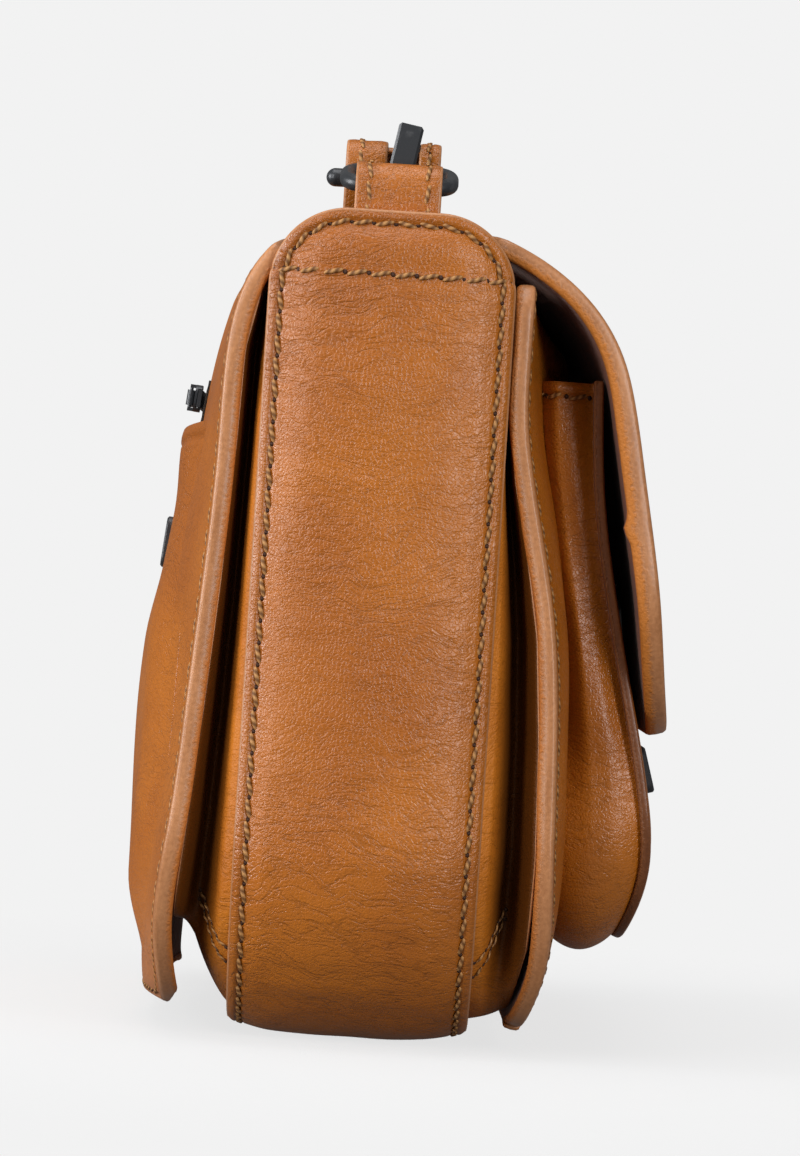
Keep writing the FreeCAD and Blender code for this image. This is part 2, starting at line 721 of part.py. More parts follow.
def make_gate():
    """Gate that closes the hook from its back to its nose."""
    pin = gate_pin_centre()
    wire = ring_wire_centre()
    t = GATE_THICK / 2
    eye = Part.makeCylinder(t, GATE_WIDTH, pin - V(0, GATE_WIDTH / 2, 0), V(0, 1, 0))
    bar = box(wire.x - HOOK_CHANNEL + METAL_GAP, pin.x, -GATE_WIDTH / 2, GATE_WIDTH / 2,
              pin.z - t, pin.z + t)
    hole = Part.makeCylinder(GATE_PIN_RADIUS + METAL_GAP / 2, 2 * GATE_WIDTH,
                             pin - V(0, GATE_WIDTH, 0), V(0, 1, 0))
    return leaned(bar.fuse(eye).cut(hole).removeSplitter())


def make_gate_pin():
    """Pin through the two cheeks of the hook and the gate."""
    pin = gate_pin_centre()
    return leaned(Part.makeCylinder(GATE_PIN_RADIUS, HOOK_WIDTH,
                                    pin - V(0, HOOK_WIDTH / 2, 0), V(0, 1, 0)))


def strap_floor():
    """Underside of the stowed strap, just over the stiffener."""
    return STRIP_THICK + BOARD_THICK + 2 * LEATHER_GAP


def make_strap():
    """Strap folded over both crossbars and stowed down one end, along the floor and up."""
    bar = crossbar_centre()
    outer = STRAP_FOLD + STRAP_THICK / 2 + METAL_GAP
    t = STRAP_THICK / 2
    foot = strap_floor() + t + STRAP_BEND
    loop = across(loop_profile(bar, STRAP_FOLD, outer, bar.x - t, bar.x + t,
                               bar.z - LOOP_TAIL, foot, STRAP_RISE), STRAP_WIDTH, STRAP_OFFSET)
    slot = box(bar.x - 2 * outer, bar.x + 2 * outer, -STRAP_SLOT / 2, STRAP_SLOT / 2,
               bar.z - SLOT_TIP, bar.z + STRAP_RISE + 2 * outer)
    loop = loop.cut(slot)
    end = box(bar.x - t, bar.x + t, STRAP_OFFSET - STRAP_WIDTH / 2, STRAP_OFFSET + STRAP_WIDTH / 2,
              foot, foot + STRAP_THICK).Faces
    end = min(end, key=lambda f: f.CenterOfMass.z)
    pivot = V(bar.x + STRAP_BEND, 0, foot)
    bend = end.revolve(pivot, V(0, -1, 0), 90)
    run = box(bar.x + STRAP_BEND, -bar.x - STRAP_BEND, STRAP_OFFSET - STRAP_WIDTH / 2,
              STRAP_OFFSET + STRAP_WIDTH / 2, strap_floor(), strap_floor() + STRAP_THICK)
    return run.multiFuse([bend, loop, mirrored(bend), mirrored(loop)]).removeSplitter()


# Zip on the back: made flat with X along the zip, Y towards the foot and Z out of the bag

def zip_seat():
    """Point of the back where the zip lies and the way out from it."""
    return face_at(back_outer(0.0), ZIP_HEIGHT, 1)


TAPE_FACE = ZIP_AIR + ZIP_TAPE_THICK
TEETH_LINE = -ZIP_TAPE_WIDTH / 4
SLIDER_FACE = TAPE_FACE + TOOTH_THICK + METAL_GAP + SLIDER_SKIN
PULLER_AXIS = V(-SLIDER_START, TEETH_LINE, SLIDER_FACE + BRIDGE_WIRE + PULLER_THICK / 2 + METAL_GAP)


def make_zip_tape():
    """Woven tape on the back, its lower half under the pocket's upper edge."""
    half = ZIP_LENGTH / 2
    wide = ZIP_TAPE_WIDTH / 2
    return box(-half, half, -wide, wide, ZIP_AIR, TAPE_FACE)


def make_zip_teeth():
    """Row of teeth standing on the tape."""
    count = int((ZIP_LENGTH - 2 * TOOTH_PITCH) / TOOTH_PITCH)
    first = -(count - 1) * TOOTH_PITCH / 2
    wide = TOOTH_WIDTH / 2
    long = TOOTH_LENGTH / 2
    teeth = []
    for i in range(count):
        x = first + i * TOOTH_PITCH
        teeth.append(box(x - long, x + long, TEETH_LINE - wide, TEETH_LINE + wide, TAPE_FACE,
                         TAPE_FACE + TOOTH_THICK))
    return Part.makeCompound(teeth)


def make_slider():
    """Slider: a plate over the teeth with a cheek on each side and a small bridge."""
    half = SLIDER_LENGTH / 2
    wide = SLIDER_WIDTH / 2
    body = box(-half, half, -wide, wide, TAPE_FACE + METAL_GAP, SLIDER_FACE)
    body = body.makeFillet(SLIDER_LENGTH / 4, upright_edges(body))
    channel = TOOTH_WIDTH / 2 + METAL_GAP
    body = body.cut(box(-half, half, -channel, channel, 0, SLIDER_FACE - SLIDER_SKIN))
    body.translate(V(-SLIDER_START, TEETH_LINE, 0))
    span = SLIDER_WIDTH - 2 * BRIDGE_WIRE
    bridge = Part.makeCylinder(BRIDGE_WIRE, span, PULLER_AXIS - V(0, span / 2, 0), V(0, 1, 0))
    feet = []
    for y in (-span / 2, span / 2):
        foot = PULLER_AXIS + V(0, y, 0)
        feet.append(box(foot.x - BRIDGE_WIRE, foot.x + BRIDGE_WIRE, foot.y - BRIDGE_WIRE,
                        foot.y + BRIDGE_WIRE, SLIDER_FACE - SLIDER_SKIN / 2, foot.z + BRIDGE_WIRE))
    return body.multiFuse([bridge] + feet).removeSplitter()


def make_puller():
    """Flat bare puller with an eye round the slider's bridge, lying along the zip."""
    width = min(PULLER_WIDTH, SLIDER_WIDTH - 4 * BRIDGE_WIRE - 2 * METAL_GAP)
    eye = Part.makeCylinder(BRIDGE_WIRE + METAL_GAP + PULLER_THICK / 3, width,
                            PULLER_AXIS - V(0, width / 2, 0), V(0, 1, 0))
    start = PULLER_AXIS - V(0, width / 2, PULLER_THICK / 2)
    bar = Part.makeBox(PULLER_LENGTH, width, PULLER_THICK, start)
    tip = Part.makeCylinder(width / 2, PULLER_THICK, start + V(PULLER_LENGTH, width / 2, 0))
    hole = Part.makeCylinder(BRIDGE_WIRE + METAL_GAP / 2, width, PULLER_AXIS - V(0, width / 2, 0),
                             V(0, 1, 0))
    return bar.multiFuse([eye, tip]).cut(hole).removeSplitter()


# Bare plates with rivets, and the magnet closure

def upright_edges(block):
    """Edges of a block that run along Z."""
    return [e for e in block.Edges
            if abs(e.Vertexes[0].X - e.Vertexes[-1].X) + abs(e.Vertexes[0].Y - e.Vertexes[-1].Y) < 0.01]


def make_plate(size):
    """Bare plate with rounded corners, lying on the XY plane."""
    length, tall, thick = size
    plate = box(-length / 2, length / 2, -tall / 2, tall / 2, PLATE_GAP, thick)
    plate = plate.makeFillet(tall / 5, upright_edges(plate))
    top = [e for e in plate.Edges if e.BoundBox.ZMin > thick - 0.01]
    return plate.makeChamfer(PLATE_BEVEL, top)


def make_rivets(size, leather):
    """Two rivets under a plate: shanks through the leather with heads behind it."""
    rivets = []
    for x in (-size[0] / 3, size[0] / 3):
        foot = V(x, 0, -leather - RIVET_HEAD_GAP - RIVET_HEAD_THICK)
        shank = Part.makeCylinder(RIVET_RADIUS, PLATE_GAP / 2 - foot.z, foot)
        head = Part.makeCylinder(RIVET_HEAD_RADIUS, RIVET_HEAD_THICK, foot)
        rivets.append(shank.fuse(head).removeSplitter())
    return rivets


def rivet_holes(size, leather):
    """Holes in the leather for the shanks of a plate's rivets."""
    deep = 2 * leather
    return [Part.makeCylinder(RIVET_RADIUS + METAL_GAP, 2 * deep, V(x, 0, -deep))
            for x in (-size[0] / 3, size[0] / 3)]


def magnet_space():
    """Point on the flap's lining, the way in from it and the room up to the pocket."""
    lining = shifted(flap_outer(), -FLAP_LEATHER - FLAP_LAYER_GAP - FLAP_LINING)
    lining = [p for p in lining if p.y < -EDGE]
    point, out = face_at(list(reversed(lining)), MAGNET_HEIGHT, -1)
    pocket = curve_through(pocket_outer(0.0)).toShape()
    ray = Part.makeLine(point, point - out * EDGE)
    return point, out * -1, ray.distToShape(pocket)[1][0][0].distanceToPoint(point)


def make_magnet(tall):
    """Steel cup and the magnet inside it, standing on the XY plane."""
    cup = Part.makeCylinder(MAGNET_RADIUS, tall)
    cup = cup.cut(Part.makeCylinder(MAGNET_RADIUS - CUP_WALL, tall, V(0, 0, CUP_FLOOR)))
    disc = Part.makeCylinder(MAGNET_RADIUS - CUP_WALL - MAGNET_FIT, tall - CUP_FLOOR - MAGNET_FIT,
                             V(0, 0, CUP_FLOOR + MAGNET_FIT))
    return cup, disc


def make_board():
    """Stiffener on the floor of the bag."""
    long = HALF - BASE_RADIUS - BOARD_MARGIN
    wide = STRIP_FLAT / 2 - BOARD_MARGIN
    low = STRIP_THICK + LEATHER_GAP
    return box(-long, long, -wide, wide, low, low + BOARD_THICK)


def main():
    """Make every piece and write it to its own file."""
    pieces = {}
    pieces["gusset_strip"] = make_strip()
    pieces["base_board"] = make_board()
    pieces["front_panel"] = make_front_panel()
    pieces["back_panel"] = make_back_panel()
    pieces["pocket_gusset"] = make_pocket_gusset()
    pieces["rear_fold_gusset"] = fold_gusset(BACK_LINE, 1, height(FOLD_TOP), FOLD_REAR_LIFT,
                                             PANEL_THICK)
    pieces["front_fold_gusset"] = fold_gusset(FRONT_LINE, -1, height(FOLD_FRONT_TOP), 0.0, 0.0)
    pieces["rear_divider"] = make_divider(1, BACK_LINE, PANEL_THICK, FOLD_REAR_LIFT,
                                          REAR_DIVIDER_TOP, 0.0)
    pieces["front_divider"] = make_divider(-1, FRONT_LINE, 0.0, 0.0, FRONT_DIVIDER_TOP,
                                           FRONT_DIVIDER_SHIFT)
    pieces["flap"] = flap_layer(0.0, FLAP_LEATHER)
    pieces["flap_lining"] = flap_layer(FLAP_LEATHER + FLAP_LAYER_GAP, FLAP_LINING)

    rivets = []
    patch = shifted(back_outer(0.0), pocket_lift() + BACK_POCKET_THICK)
    point, way = face_at(patch, BACK_PLATE_HEIGHT, 1)
    pieces["back_plate"] = placed(make_plate(BACK_PLATE), point, way)
    rivets += [placed(r, point, way) for r in make_rivets(BACK_PLATE, BACK_POCKET_THICK)]
    holes = [placed(h, point, way) for h in rivet_holes(BACK_PLATE, BACK_POCKET_THICK)]
    pieces["back_pocket_panel"] = make_back_pocket().cut(holes)

    point, way = face_at(pocket_outer(0.0), POCKET_PLATE_HEIGHT, -1)
    pieces["pocket_plate"] = placed(make_plate(POCKET_PLATE), point, way)
    rivets += [placed(r, point, way) for r in make_rivets(POCKET_PLATE, POCKET_THICK)]
    holes = [placed(h, point, way) for h in rivet_holes(POCKET_PLATE, POCKET_THICK)]
    pieces["pocket_panel"] = make_pocket_panel().cut(holes)
    pieces["plate_rivets"] = Part.makeCompound(rivets)

    point, way, room = magnet_space()
    tall = (room - MAGNET_GAP) / 2 - MAGNET_SEAT
    cup, disc = make_magnet(tall)
    start = point + way * MAGNET_SEAT
    pieces["flap_magnet_cup"] = placed(cup, start, way)
    pieces["flap_magnet"] = placed(disc, start, way)
    start = point + way * (room - MAGNET_SEAT)
    pieces["pocket_magnet_cup"] = placed(cup, start, way * -1)
    pieces["pocket_magnet"] = placed(disc, start, way * -1)

    point, way = zip_seat()
    for name, maker in (("zip_tape", make_zip_tape), ("zip_teeth", make_zip_teeth),
                        ("zip_slider", make_slider), ("zip_puller", make_puller)):
        pieces[name] = placed(maker(), point, way)

    for name, maker in (("ring_tab", make_tab), ("tab_backing", make_backing),
                        ("ring", make_ring), ("hook", make_hook), ("gate", make_gate),
                        ("gate_pin", make_gate_pin)):
        left = maker()
        pieces[name + "_left"] = left
        pieces[name + "_right"] = mirrored(left)
    pieces["strap"] = make_strap()

    os.makedirs("parts", exist_ok=True)
    for name, shape in pieces.items():
        solids = shape.Solids
        piece = solids[0] if len(solids) == 1 else Part.makeCompound(solids)
        piece.exportStep("parts/" + name + ".step")
        print(name, len(solids), piece.isValid(), round(piece.Volume))


main()
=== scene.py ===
# %% [markdown]
# A small saddle handbag, dressed over its CAD frame. The real bag is sewn from tan leather: a strip
# that runs down one end, under the bag and up the other, two panels joined to that strip by folded
# gussets, a flap that is one piece with the back, and a pocket on each side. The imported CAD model
# gives every place and every joint, so each soft piece here is worked out in the same millimetres.

# %% Load the frame
import math

import bpy
import numpy as np
from mathutils import Matrix, Vector


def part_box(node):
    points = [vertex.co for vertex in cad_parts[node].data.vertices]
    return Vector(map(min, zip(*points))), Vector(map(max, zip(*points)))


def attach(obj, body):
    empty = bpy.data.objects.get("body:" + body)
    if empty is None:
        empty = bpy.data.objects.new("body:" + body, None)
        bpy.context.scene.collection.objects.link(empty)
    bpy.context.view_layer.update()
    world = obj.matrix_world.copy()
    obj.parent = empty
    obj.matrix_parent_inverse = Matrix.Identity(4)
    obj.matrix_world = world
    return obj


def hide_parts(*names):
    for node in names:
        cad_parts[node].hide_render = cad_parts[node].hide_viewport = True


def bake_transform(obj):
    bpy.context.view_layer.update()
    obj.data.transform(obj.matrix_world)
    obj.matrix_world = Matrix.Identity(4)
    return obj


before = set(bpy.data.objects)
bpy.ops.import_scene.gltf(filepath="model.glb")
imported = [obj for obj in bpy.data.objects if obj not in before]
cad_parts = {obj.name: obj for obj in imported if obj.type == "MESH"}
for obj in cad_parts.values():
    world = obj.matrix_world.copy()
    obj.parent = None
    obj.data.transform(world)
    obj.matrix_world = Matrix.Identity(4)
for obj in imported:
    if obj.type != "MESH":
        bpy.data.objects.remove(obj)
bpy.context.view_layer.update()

# %% [markdown]
# The photograph looks square at one end of the bag from about a metre away, with the bag leaning a
# few degrees. A long lens at that distance gives the same faint perspective. The camera's three axes
# are written as the columns of its matrix, which is easier to check than three turning angles.

# %% Camera
NEAR_END = -0.105
STAND_OFF = 1.10
LEAN = math.radians(3.62)
PHOTO_TALL = 1156
PIXEL = 0.0002
SENSOR = 36.0
CAMERA_PLACE = (NEAR_END - STAND_OFF, -0.0052, 0.0958)


def add_object(name, data):
    """New object of the scene around a mesh, a lamp or a camera."""
    thing = bpy.data.objects.new(name, data)
    bpy.context.scene.collection.objects.link(thing)
    return thing


def make_camera():
    """Camera beyond the left end, looking along the bag, rolled by the lean of the photograph."""
    camera = add_object("camera", bpy.data.cameras.new("camera"))
    camera.data.sensor_width = SENSOR
    camera.data.lens = SENSOR * STAND_OFF / (PHOTO_TALL * PIXEL)
    camera.data.clip_start = 0.01
    right = (0, -math.cos(LEAN), math.sin(LEAN))
    up = (0, math.sin(LEAN), math.cos(LEAN))
    back = (-1, 0, 0)
    turn = Matrix((right, up, back)).transposed().to_4x4()
    camera.matrix_world = Matrix.Translation(CAMERA_PLACE) @ turn
    bpy.context.scene.camera = camera
    print("lens", round(camera.data.lens, 1), "mm")


make_camera()

# %% [markdown]
# A finish is a small sum of patterns, so shader maths reads best as ordinary sums. One class wraps a
# socket and turns + - * into Math nodes. A second class holds a material and adds any other node.

# %% Shader sums
def feed(tree, socket, value):
    """Link a wrapped value to a socket, or set a plain number or colour on it."""
    if isinstance(value, Val):
        tree.links.new(value.socket, socket)
    else:
        socket.default_value = value


class Val:
    """A shader socket; each operator adds one Math node to its tree."""

    def __init__(self, tree, socket):
        self.tree = tree
        self.socket = socket

    def math(self, operation, other=0.0, turned=False):
        node = self.tree.nodes.new("ShaderNodeMath")
        node.operation = operation
        pair = (other, self) if turned else (self, other)
        for socket, value in zip(node.inputs, pair):
            feed(self.tree, socket, value)
        return Val(self.tree, node.outputs[0])

    def __add__(self, other):
        return self.math("ADD", other)

    def __sub__(self, other):
        return self.math("SUBTRACT", other)

    def __rsub__(self, other):
        return self.math("SUBTRACT", other, True)

    def __mul__(self, other):
        return self.math("MULTIPLY", other)

    __radd__ = __add__
    __rmul__ = __mul__


class Finish:
    """A material, or the world, being written: one shader and the nodes that feed it."""

    def __init__(self, name, world=False):
        self.made = (bpy.data.worlds if world else bpy.data.materials).new(name)
        self.made.use_nodes = True
        self.tree = self.made.node_tree
        self.shader = self.tree.nodes["Background" if world else "Principled BSDF"]

    def node(self, kind, inputs=(), out=0, **settings):
        """Any node: its settings first, then the values or links of its sockets."""
        node = self.tree.nodes.new("ShaderNode" + kind)
        for key, value in settings.items():
            setattr(node, key, value)
        for key, value in dict(inputs).items():
            feed(self.tree, node.inputs[key], value)
        return Val(self.tree, node.outputs[out])

    def blend(self, factor, first, second):
        """Mix of two colours."""
        return self.node("Mix", {0: factor, 6: first, 7: second}, 2, data_type="RGBA")

    def between(self, value, low, high):
        """Value stretched so that low becomes 0 and high 1, with the rest cut off."""
        return self.node("MapRange", {"Value": value, "From Min": low, "From Max": high},
                         interpolation_type="SMOOTHSTEP")

    def place(self):
        """Object coordinates, in metres."""
        return self.node("TexCoord", out="Object")

    def uv(self):
        """UV map of the mesh."""
        return self.node("UVMap", uv_map="UVMap")

    def axis(self, vector, letter):
        """One part of a vector."""
        return self.node("SeparateXYZ", {0: vector}, letter)

    def noise(self, scale, detail=2.0, rough=0.5, stretch=None, where=None, out="Fac"):
        """Soft noise with its grains about 1 / scale metres wide."""
        where = where or self.place()
        if stretch:
            where = self.node("Mapping", {"Vector": where, "Scale": stretch})
        inputs = {"Vector": where, "Scale": scale, "Detail": detail, "Roughness": rough}
        return self.node("TexNoise", inputs, out)

    def bump(self, height, depth, strength):
        """Normal from a height whose 1 stands for depth metres."""
        return self.node("Bump", {"Height": height, "Distance": depth, "Strength": strength})

    def set(self, **sockets):
        """Sockets of the shader, with spaces written as underscores."""
        for key, value in sockets.items():
            feed(self.tree, self.shader.inputs[key.replace("_", " ")], value)
        return self.made

    def coat(self, tone, dark, light, bump, **sockets):
        """Shader with a mix of two colours and a bump, given as height, depth and strength."""
        return self.set(Base_Color=self.blend(tone, dark, light), Normal=self.bump(*bump), **sockets)


# %% [markdown]
# The photograph's background is one pale grey with no horizon. The world shows that grey to the
# camera, while a weaker grey lights the bag, stronger from above than from below. The floor is a thin
# pale square that keeps a faint shadow and fades out a hand's width from the bag, so no edge shows.

# %% Floor, background and lamps
PALE = 0.888
SKY = 0.22
SKY_RISE = 0.20
REFLECTED_LOSS = 0.45
FLOOR_HALF = 0.8
FLOOR_LEVEL = -0.0003
AIM = Vector((0, 0, 0.10))
LAMPS = (("key", (-1.02, 0.68, 0.36), 0.25, 0.9, 6.0), ("fill", (-1.08, -0.66, 0.34), 0.22, 0.8, 6.6),
         ("side", (-0.30, 1.05, 0.30), 0.4, 0.6, 9.2), ("top", (-0.25, 0.1, 1.15), 0.8, 0.8, 6.0))


def make_world():
    """World that is pale to camera and transmission rays, a soft sky to the rest, darker in reflections."""
    world = Finish("studio", world=True)
    bpy.context.scene.world = world.made
    camera, through, glossy = [world.node("LightPath", out="Is %s Ray" % kind)
                               for kind in ("Camera", "Transmission", "Glossy")]
    seen = camera.math("MAXIMUM", through)
    up = world.axis(world.node("TexCoord", out="Generated"), "Z")
    sky = (SKY + up * SKY_RISE) * (1.0 - glossy * REFLECTED_LOSS)
    world.set(Color=(1, 1, 1, 1), Strength=sky + seen * (PALE - sky))


def stacked(*parts):
    """Arrays brought to one shape and put together as the coordinates of points."""
    return np.stack(np.broadcast_arrays(*parts), -1)


def quads_of(grid, flip):
    """Corners of every cell of a grid of indices or of UV places."""
    corners = [grid[:-1, :-1], grid[1:, :-1], grid[1:, 1:], grid[:-1, 1:]]
    cells = np.stack(corners[::-1] if flip else corners, 2)
    return cells.reshape((-1, 4) + grid.shape[2:])


def mesh_object(name, verts, faces, finishes, finish_of, uv):
    """Smooth object: points in metres, faces, a finish for every face, a UV place for every corner."""
    mesh = bpy.data.meshes.new(name)
    mesh.from_pydata(verts.tolist(), [], faces)
    mesh.polygons.foreach_set("material_index", finish_of)
    mesh.uv_layers.new(name="UVMap").data.foreach_set("uv", uv.ravel())
    for finish in finishes:
        mesh.materials.append(finish)
    mesh.shade_smooth()
    return add_object(name, mesh)


def make_floor():
    """Flat square under the bag: points on a plain grid, just below the bag's underside."""
    line = np.linspace(-FLOOR_HALF, FLOOR_HALF, 9)
    points = stacked(line, line[:, None], FLOOR_LEVEL)
    quads = quads_of(np.arange(line.size ** 2).reshape(line.size, -1), True)
    finish = Finish("pale_floor")
    away = finish.node("VectorMath", {0: finish.place()}, "Value", operation="LENGTH")
    speck = finish.noise(60.0, 3.0)
    fade = 1.0 - finish.between(away, 0.10, 0.30)
    finish.set(Base_Color=finish.blend(speck, (0.86, 0.87, 0.88, 1), (0.89, 0.90, 0.91, 1)),
               Roughness=0.9, Specular_IOR_Level=0.1, Alpha=fade * 0.18)
    floor = mesh_object("floor", points.reshape(-1, 3), quads.tolist(), [finish.made],
                        np.zeros(len(quads), int), quads_of(points[..., :2], True))


def make_lamp(name, place, wide, tall, power):
    """Soft rectangular lamp at a place, turned to the middle of the bag."""
    data = bpy.data.lights.new(name, "AREA")
    data.shape = "RECTANGLE"
    data.size = wide
    data.size_y = tall
    data.energy = power
    turn = (Vector(place) - AIM).to_track_quat("Z", "Y").to_matrix().to_4x4()
    add_object(name, data).matrix_world = Matrix.Translation(place) @ turn


make_world()
make_floor()
for lamp in LAMPS:
    make_lamp(*lamp)
bpy.context.scene.view_settings.view_transform = "Standard"
print("floor, world and", len(LAMPS), "lamps")

# %% [markdown]
# The leather is a smooth waxed cowhide. Its colour drifts a little between honey and cognac, and two
# sorts of line are pressed into it: the net of fine grain and soft wrinkles that wander across. The net
# is the cell walls of a Voronoi pattern. A wrinkle is where a noise crosses its middle value, like a
# contour on a map. Every leather mesh carries an attribute, edge, that says how far each point lies
# from the piece's cut edge in millimetres, so the borders can be burnished. On the gussets it holds
# the depth of the fold instead, and the darkening there is painted shade.

# %% Leather finishes
def tint(colour, times, more=0.0):
    """Colour made darker or lighter."""
    return tuple(part * times + more for part in colour[:3]) + (1,)


def grained_leather(name, honey, cognac, gloss=0.27, burnish_and_shade=0.16, shine=0.6):
    """Outer face of the leather: drifting colour, fine grain, wandering wrinkles, burnished borders, and
    painted shade where the edge attribute holds a fold's depth.
    """
    finish = Finish(name)
    stir = {0: finish.noise(38.0, out="Color"), 1: (0.022, 0.022, 0.022), 2: finish.place()}
    stirred = finish.node("VectorMath", stir, "Vector", operation="MULTIPLY_ADD")

    def creases(scale, width, stretch):
        level = finish.noise(scale, 3.0, 0.55, stretch, stirred)
        return 1.0 - finish.between((level - 0.5).math("ABSOLUTE"), 0.0, width)

    cell = finish.node("TexVoronoi", {"Vector": finish.place(), "Scale": 1250.0}, "Distance",
                       feature="DISTANCE_TO_EDGE")
    net = 1.0 - finish.between(cell, 0.0, 0.24)
    patchy = finish.between(finish.noise(26.0), 0.30, 0.62)
    deep = creases(130.0, 0.036, (0.6, 0.45, 1.6)) * patchy
    soft = creases(330.0, 0.050, (0.7, 0.42, 1.45))
    drift = finish.noise(20.0, 3.0, 0.6)
    fine = finish.noise(1500.0, 3.0, 0.7)
    edge = finish.node("Attribute", out="Fac", attribute_name="edge")
    # Darker near a small edge value: burnish on the cut borders, and painted shade in the gusset folds, where
    # the edge attribute holds the fold's depth.
    rub = 1.0 - finish.between(edge, 0.2, 5.0)
    dark = tint(cognac, 0.22)
    colour = finish.blend(finish.between(drift * 0.8 + fine * 0.2, 0.36, 0.64), cognac, honey)
    colour = finish.blend(net * 0.11, colour, tint(honey, 1.1, 0.04))
    colour = finish.blend(deep * 0.16 + soft * 0.10, colour, dark)
    colour = finish.blend(rub * burnish_and_shade, colour, dark)
    height = fine * 0.25 - deep * 0.62 - soft * (0.22 + patchy * 0.42) - net * 0.40
    return finish.set(Base_Color=colour, Roughness=gloss + fine * 0.12, Specular_IOR_Level=shine,
                      Normal=finish.bump(height, 0.00012, 0.9))


def painted_edge(name, light, dark, raw, border=0.66):
    """Cut edge of the leather: soft streaks along the layers and, past a border, raw inner fibres."""
    finish = Finish(name)
    across = finish.axis(finish.uv(), "Y")
    streak = finish.noise(1.0, 4.0, 0.6, (55.0, 3.0, 1.0), finish.uv())
    fine = finish.noise(1300.0, 3.0)
    colour = finish.blend(finish.between(streak * 0.6 + fine * 0.4, 0.30, 0.70), dark, light)
    fringe = finish.between(across + fine * 0.24, border, border + 0.16)
    colour = finish.blend(fringe * 0.9, colour, raw)
    line = 1.0 - finish.between(across, 0.02, 0.14)
    colour = finish.blend(line * 0.35, colour, tint(dark, 0.5))
    return finish.set(Base_Color=colour, Roughness=0.34 + fringe * 0.35, Specular_IOR_Level=0.42,
                      Normal=finish.bump(fine * (0.5 + fringe * 2.5), 0.00013, 0.8))


def napped_suede(name, light, dark):
    """Flesh side and lining: matt, cloudy and softly fibrous."""
    finish = Finish(name)
    cloud = finish.noise(75.0, 4.0, 0.65)
    fibre = finish.noise(1500.0, 3.0, 0.7, (1.0, 1.0, 0.35))
    tone = finish.between(cloud * 0.7 + fibre * 0.3, 0.34, 0.66)
    return finish.coat(tone, dark, light, (fibre + cloud * 0.4, 0.0002, 0.6), Roughness=0.86 + fibre * 0.1,
                       Specular_IOR_Level=0.15, Sheen_Weight=0.12, Sheen_Roughness=0.5)


EDGE_TONES = (0.53, 0.236, 0.100, 1), (0.35, 0.142, 0.053, 1)
TAN = grained_leather("tan_leather", (0.450, 0.131, 0.006, 1), (0.342, 0.091, 0.004, 1))
PAINT = painted_edge("edge_paint", *EDGE_TONES, (0.50, 0.150, 0.018, 1))
FLAP_EDGE = painted_edge("flap_edge", *EDGE_TONES, (0.52, 0.165, 0.016, 1), 0.60)
# Darker copy of the edge paint for the front pocket: painted shade of the flap that hangs over it.
SHADED_EDGE = painted_edge("shaded_edge", (0.20, 0.068, 0.022, 1), (0.12, 0.038, 0.012, 1), (0.2, 0.06, 0.01, 1))
SUEDE = napped_suede("suede_lining", (0.24, 0.066, 0.016, 1), (0.13, 0.034, 0.009, 1))
LEATHER = (TAN, PAINT, SUEDE)
print("leather finishes", [finish.name for finish in LEATHER + (FLAP_EDGE, SHADED_EDGE)])

# %% [markdown]
# Seams are sewn with a thick waxed thread, and the fittings are metal with a matt black coat. The
# thread's ply follows its own UV map as slanted stripes, lighter on their crests and darker in the
# grooves between them as painted highlight and shade. The black coat is slightly blue, with fine
# speckle and paler rubbed patches.

# %% Thread, metal and tape finishes
def twisted_thread():
    """Waxed thread: stripes that climb round the strand, from its own UV map, lighter on the crests and
    darker in the grooves as painted highlight and shade.
    """
    finish = Finish("waxed_thread")
    along, around = [finish.axis(finish.uv(), letter) for letter in "XY"]
    ply_and_shade = (along * 3600.0 + around * 6.2832).math("SINE") * 0.5 + 0.5
    return finish.coat(ply_and_shade, (0.15, 0.058, 0.015, 1), (0.47, 0.235, 0.080, 1), (ply_and_shade, 0.00012, 0.8),
                       Roughness=0.55, Specular_IOR_Level=0.35)


def needle_hole_shade():
    """Painted shade of a needle hole: a dark lens in place of the shadow where a stitch goes down into the
    leather.
    """
    finish = Finish("needle_hole_shade")
    colour = finish.blend(finish.noise(2000.0), (0.030, 0.010, 0.004, 1), (0.075, 0.024, 0.008, 1))
    return finish.set(Base_Color=colour, Roughness=0.7)


def black_coat():
    """Matt black coat on metal, with speckle and rubbed patches."""
    finish = Finish("black_metal_coat")
    speck = finish.noise(3200.0, 2.0)
    rub = finish.between(finish.noise(240.0, 4.0, 0.65), 0.55, 0.75)
    return finish.coat(rub, (0.040, 0.043, 0.048, 1), (0.070, 0.073, 0.078, 1), (speck, 0.00003, 0.5),
                       Roughness=0.30 + rub * 0.12 + speck * 0.08, Specular_IOR_Level=0.6, Metallic=0.35)


def bare_steel():
    """Plain turned steel with fine scratches."""
    finish = Finish("turned_steel")
    scratch = finish.noise(1400.0, 3.0, 0.6, (0.1, 1.0, 1.0))
    return finish.coat(scratch, (0.42, 0.42, 0.42, 1), (0.60, 0.60, 0.59, 1), (scratch, 0.00002, 0.5),
                       Roughness=0.25 + scratch * 0.2, Metallic=1.0)


def woven_tape():
    """Zip tape: fine diagonal ribs of a twill weave."""
    finish = Finish("woven_tape")
    along, across = [finish.axis(finish.uv(), letter) for letter in "XY"]
    rib = ((along + across) * 9000.0).math("SINE") * 0.5 + 0.5
    fuzz = finish.noise(2200.0, 2.0)
    return finish.coat(rib * 0.7 + fuzz * 0.3, (0.020, 0.017, 0.015, 1), (0.075, 0.062, 0.052, 1),
                       (rib + fuzz * 0.5, 0.00015, 0.8), Roughness=0.85, Specular_IOR_Level=0.2)


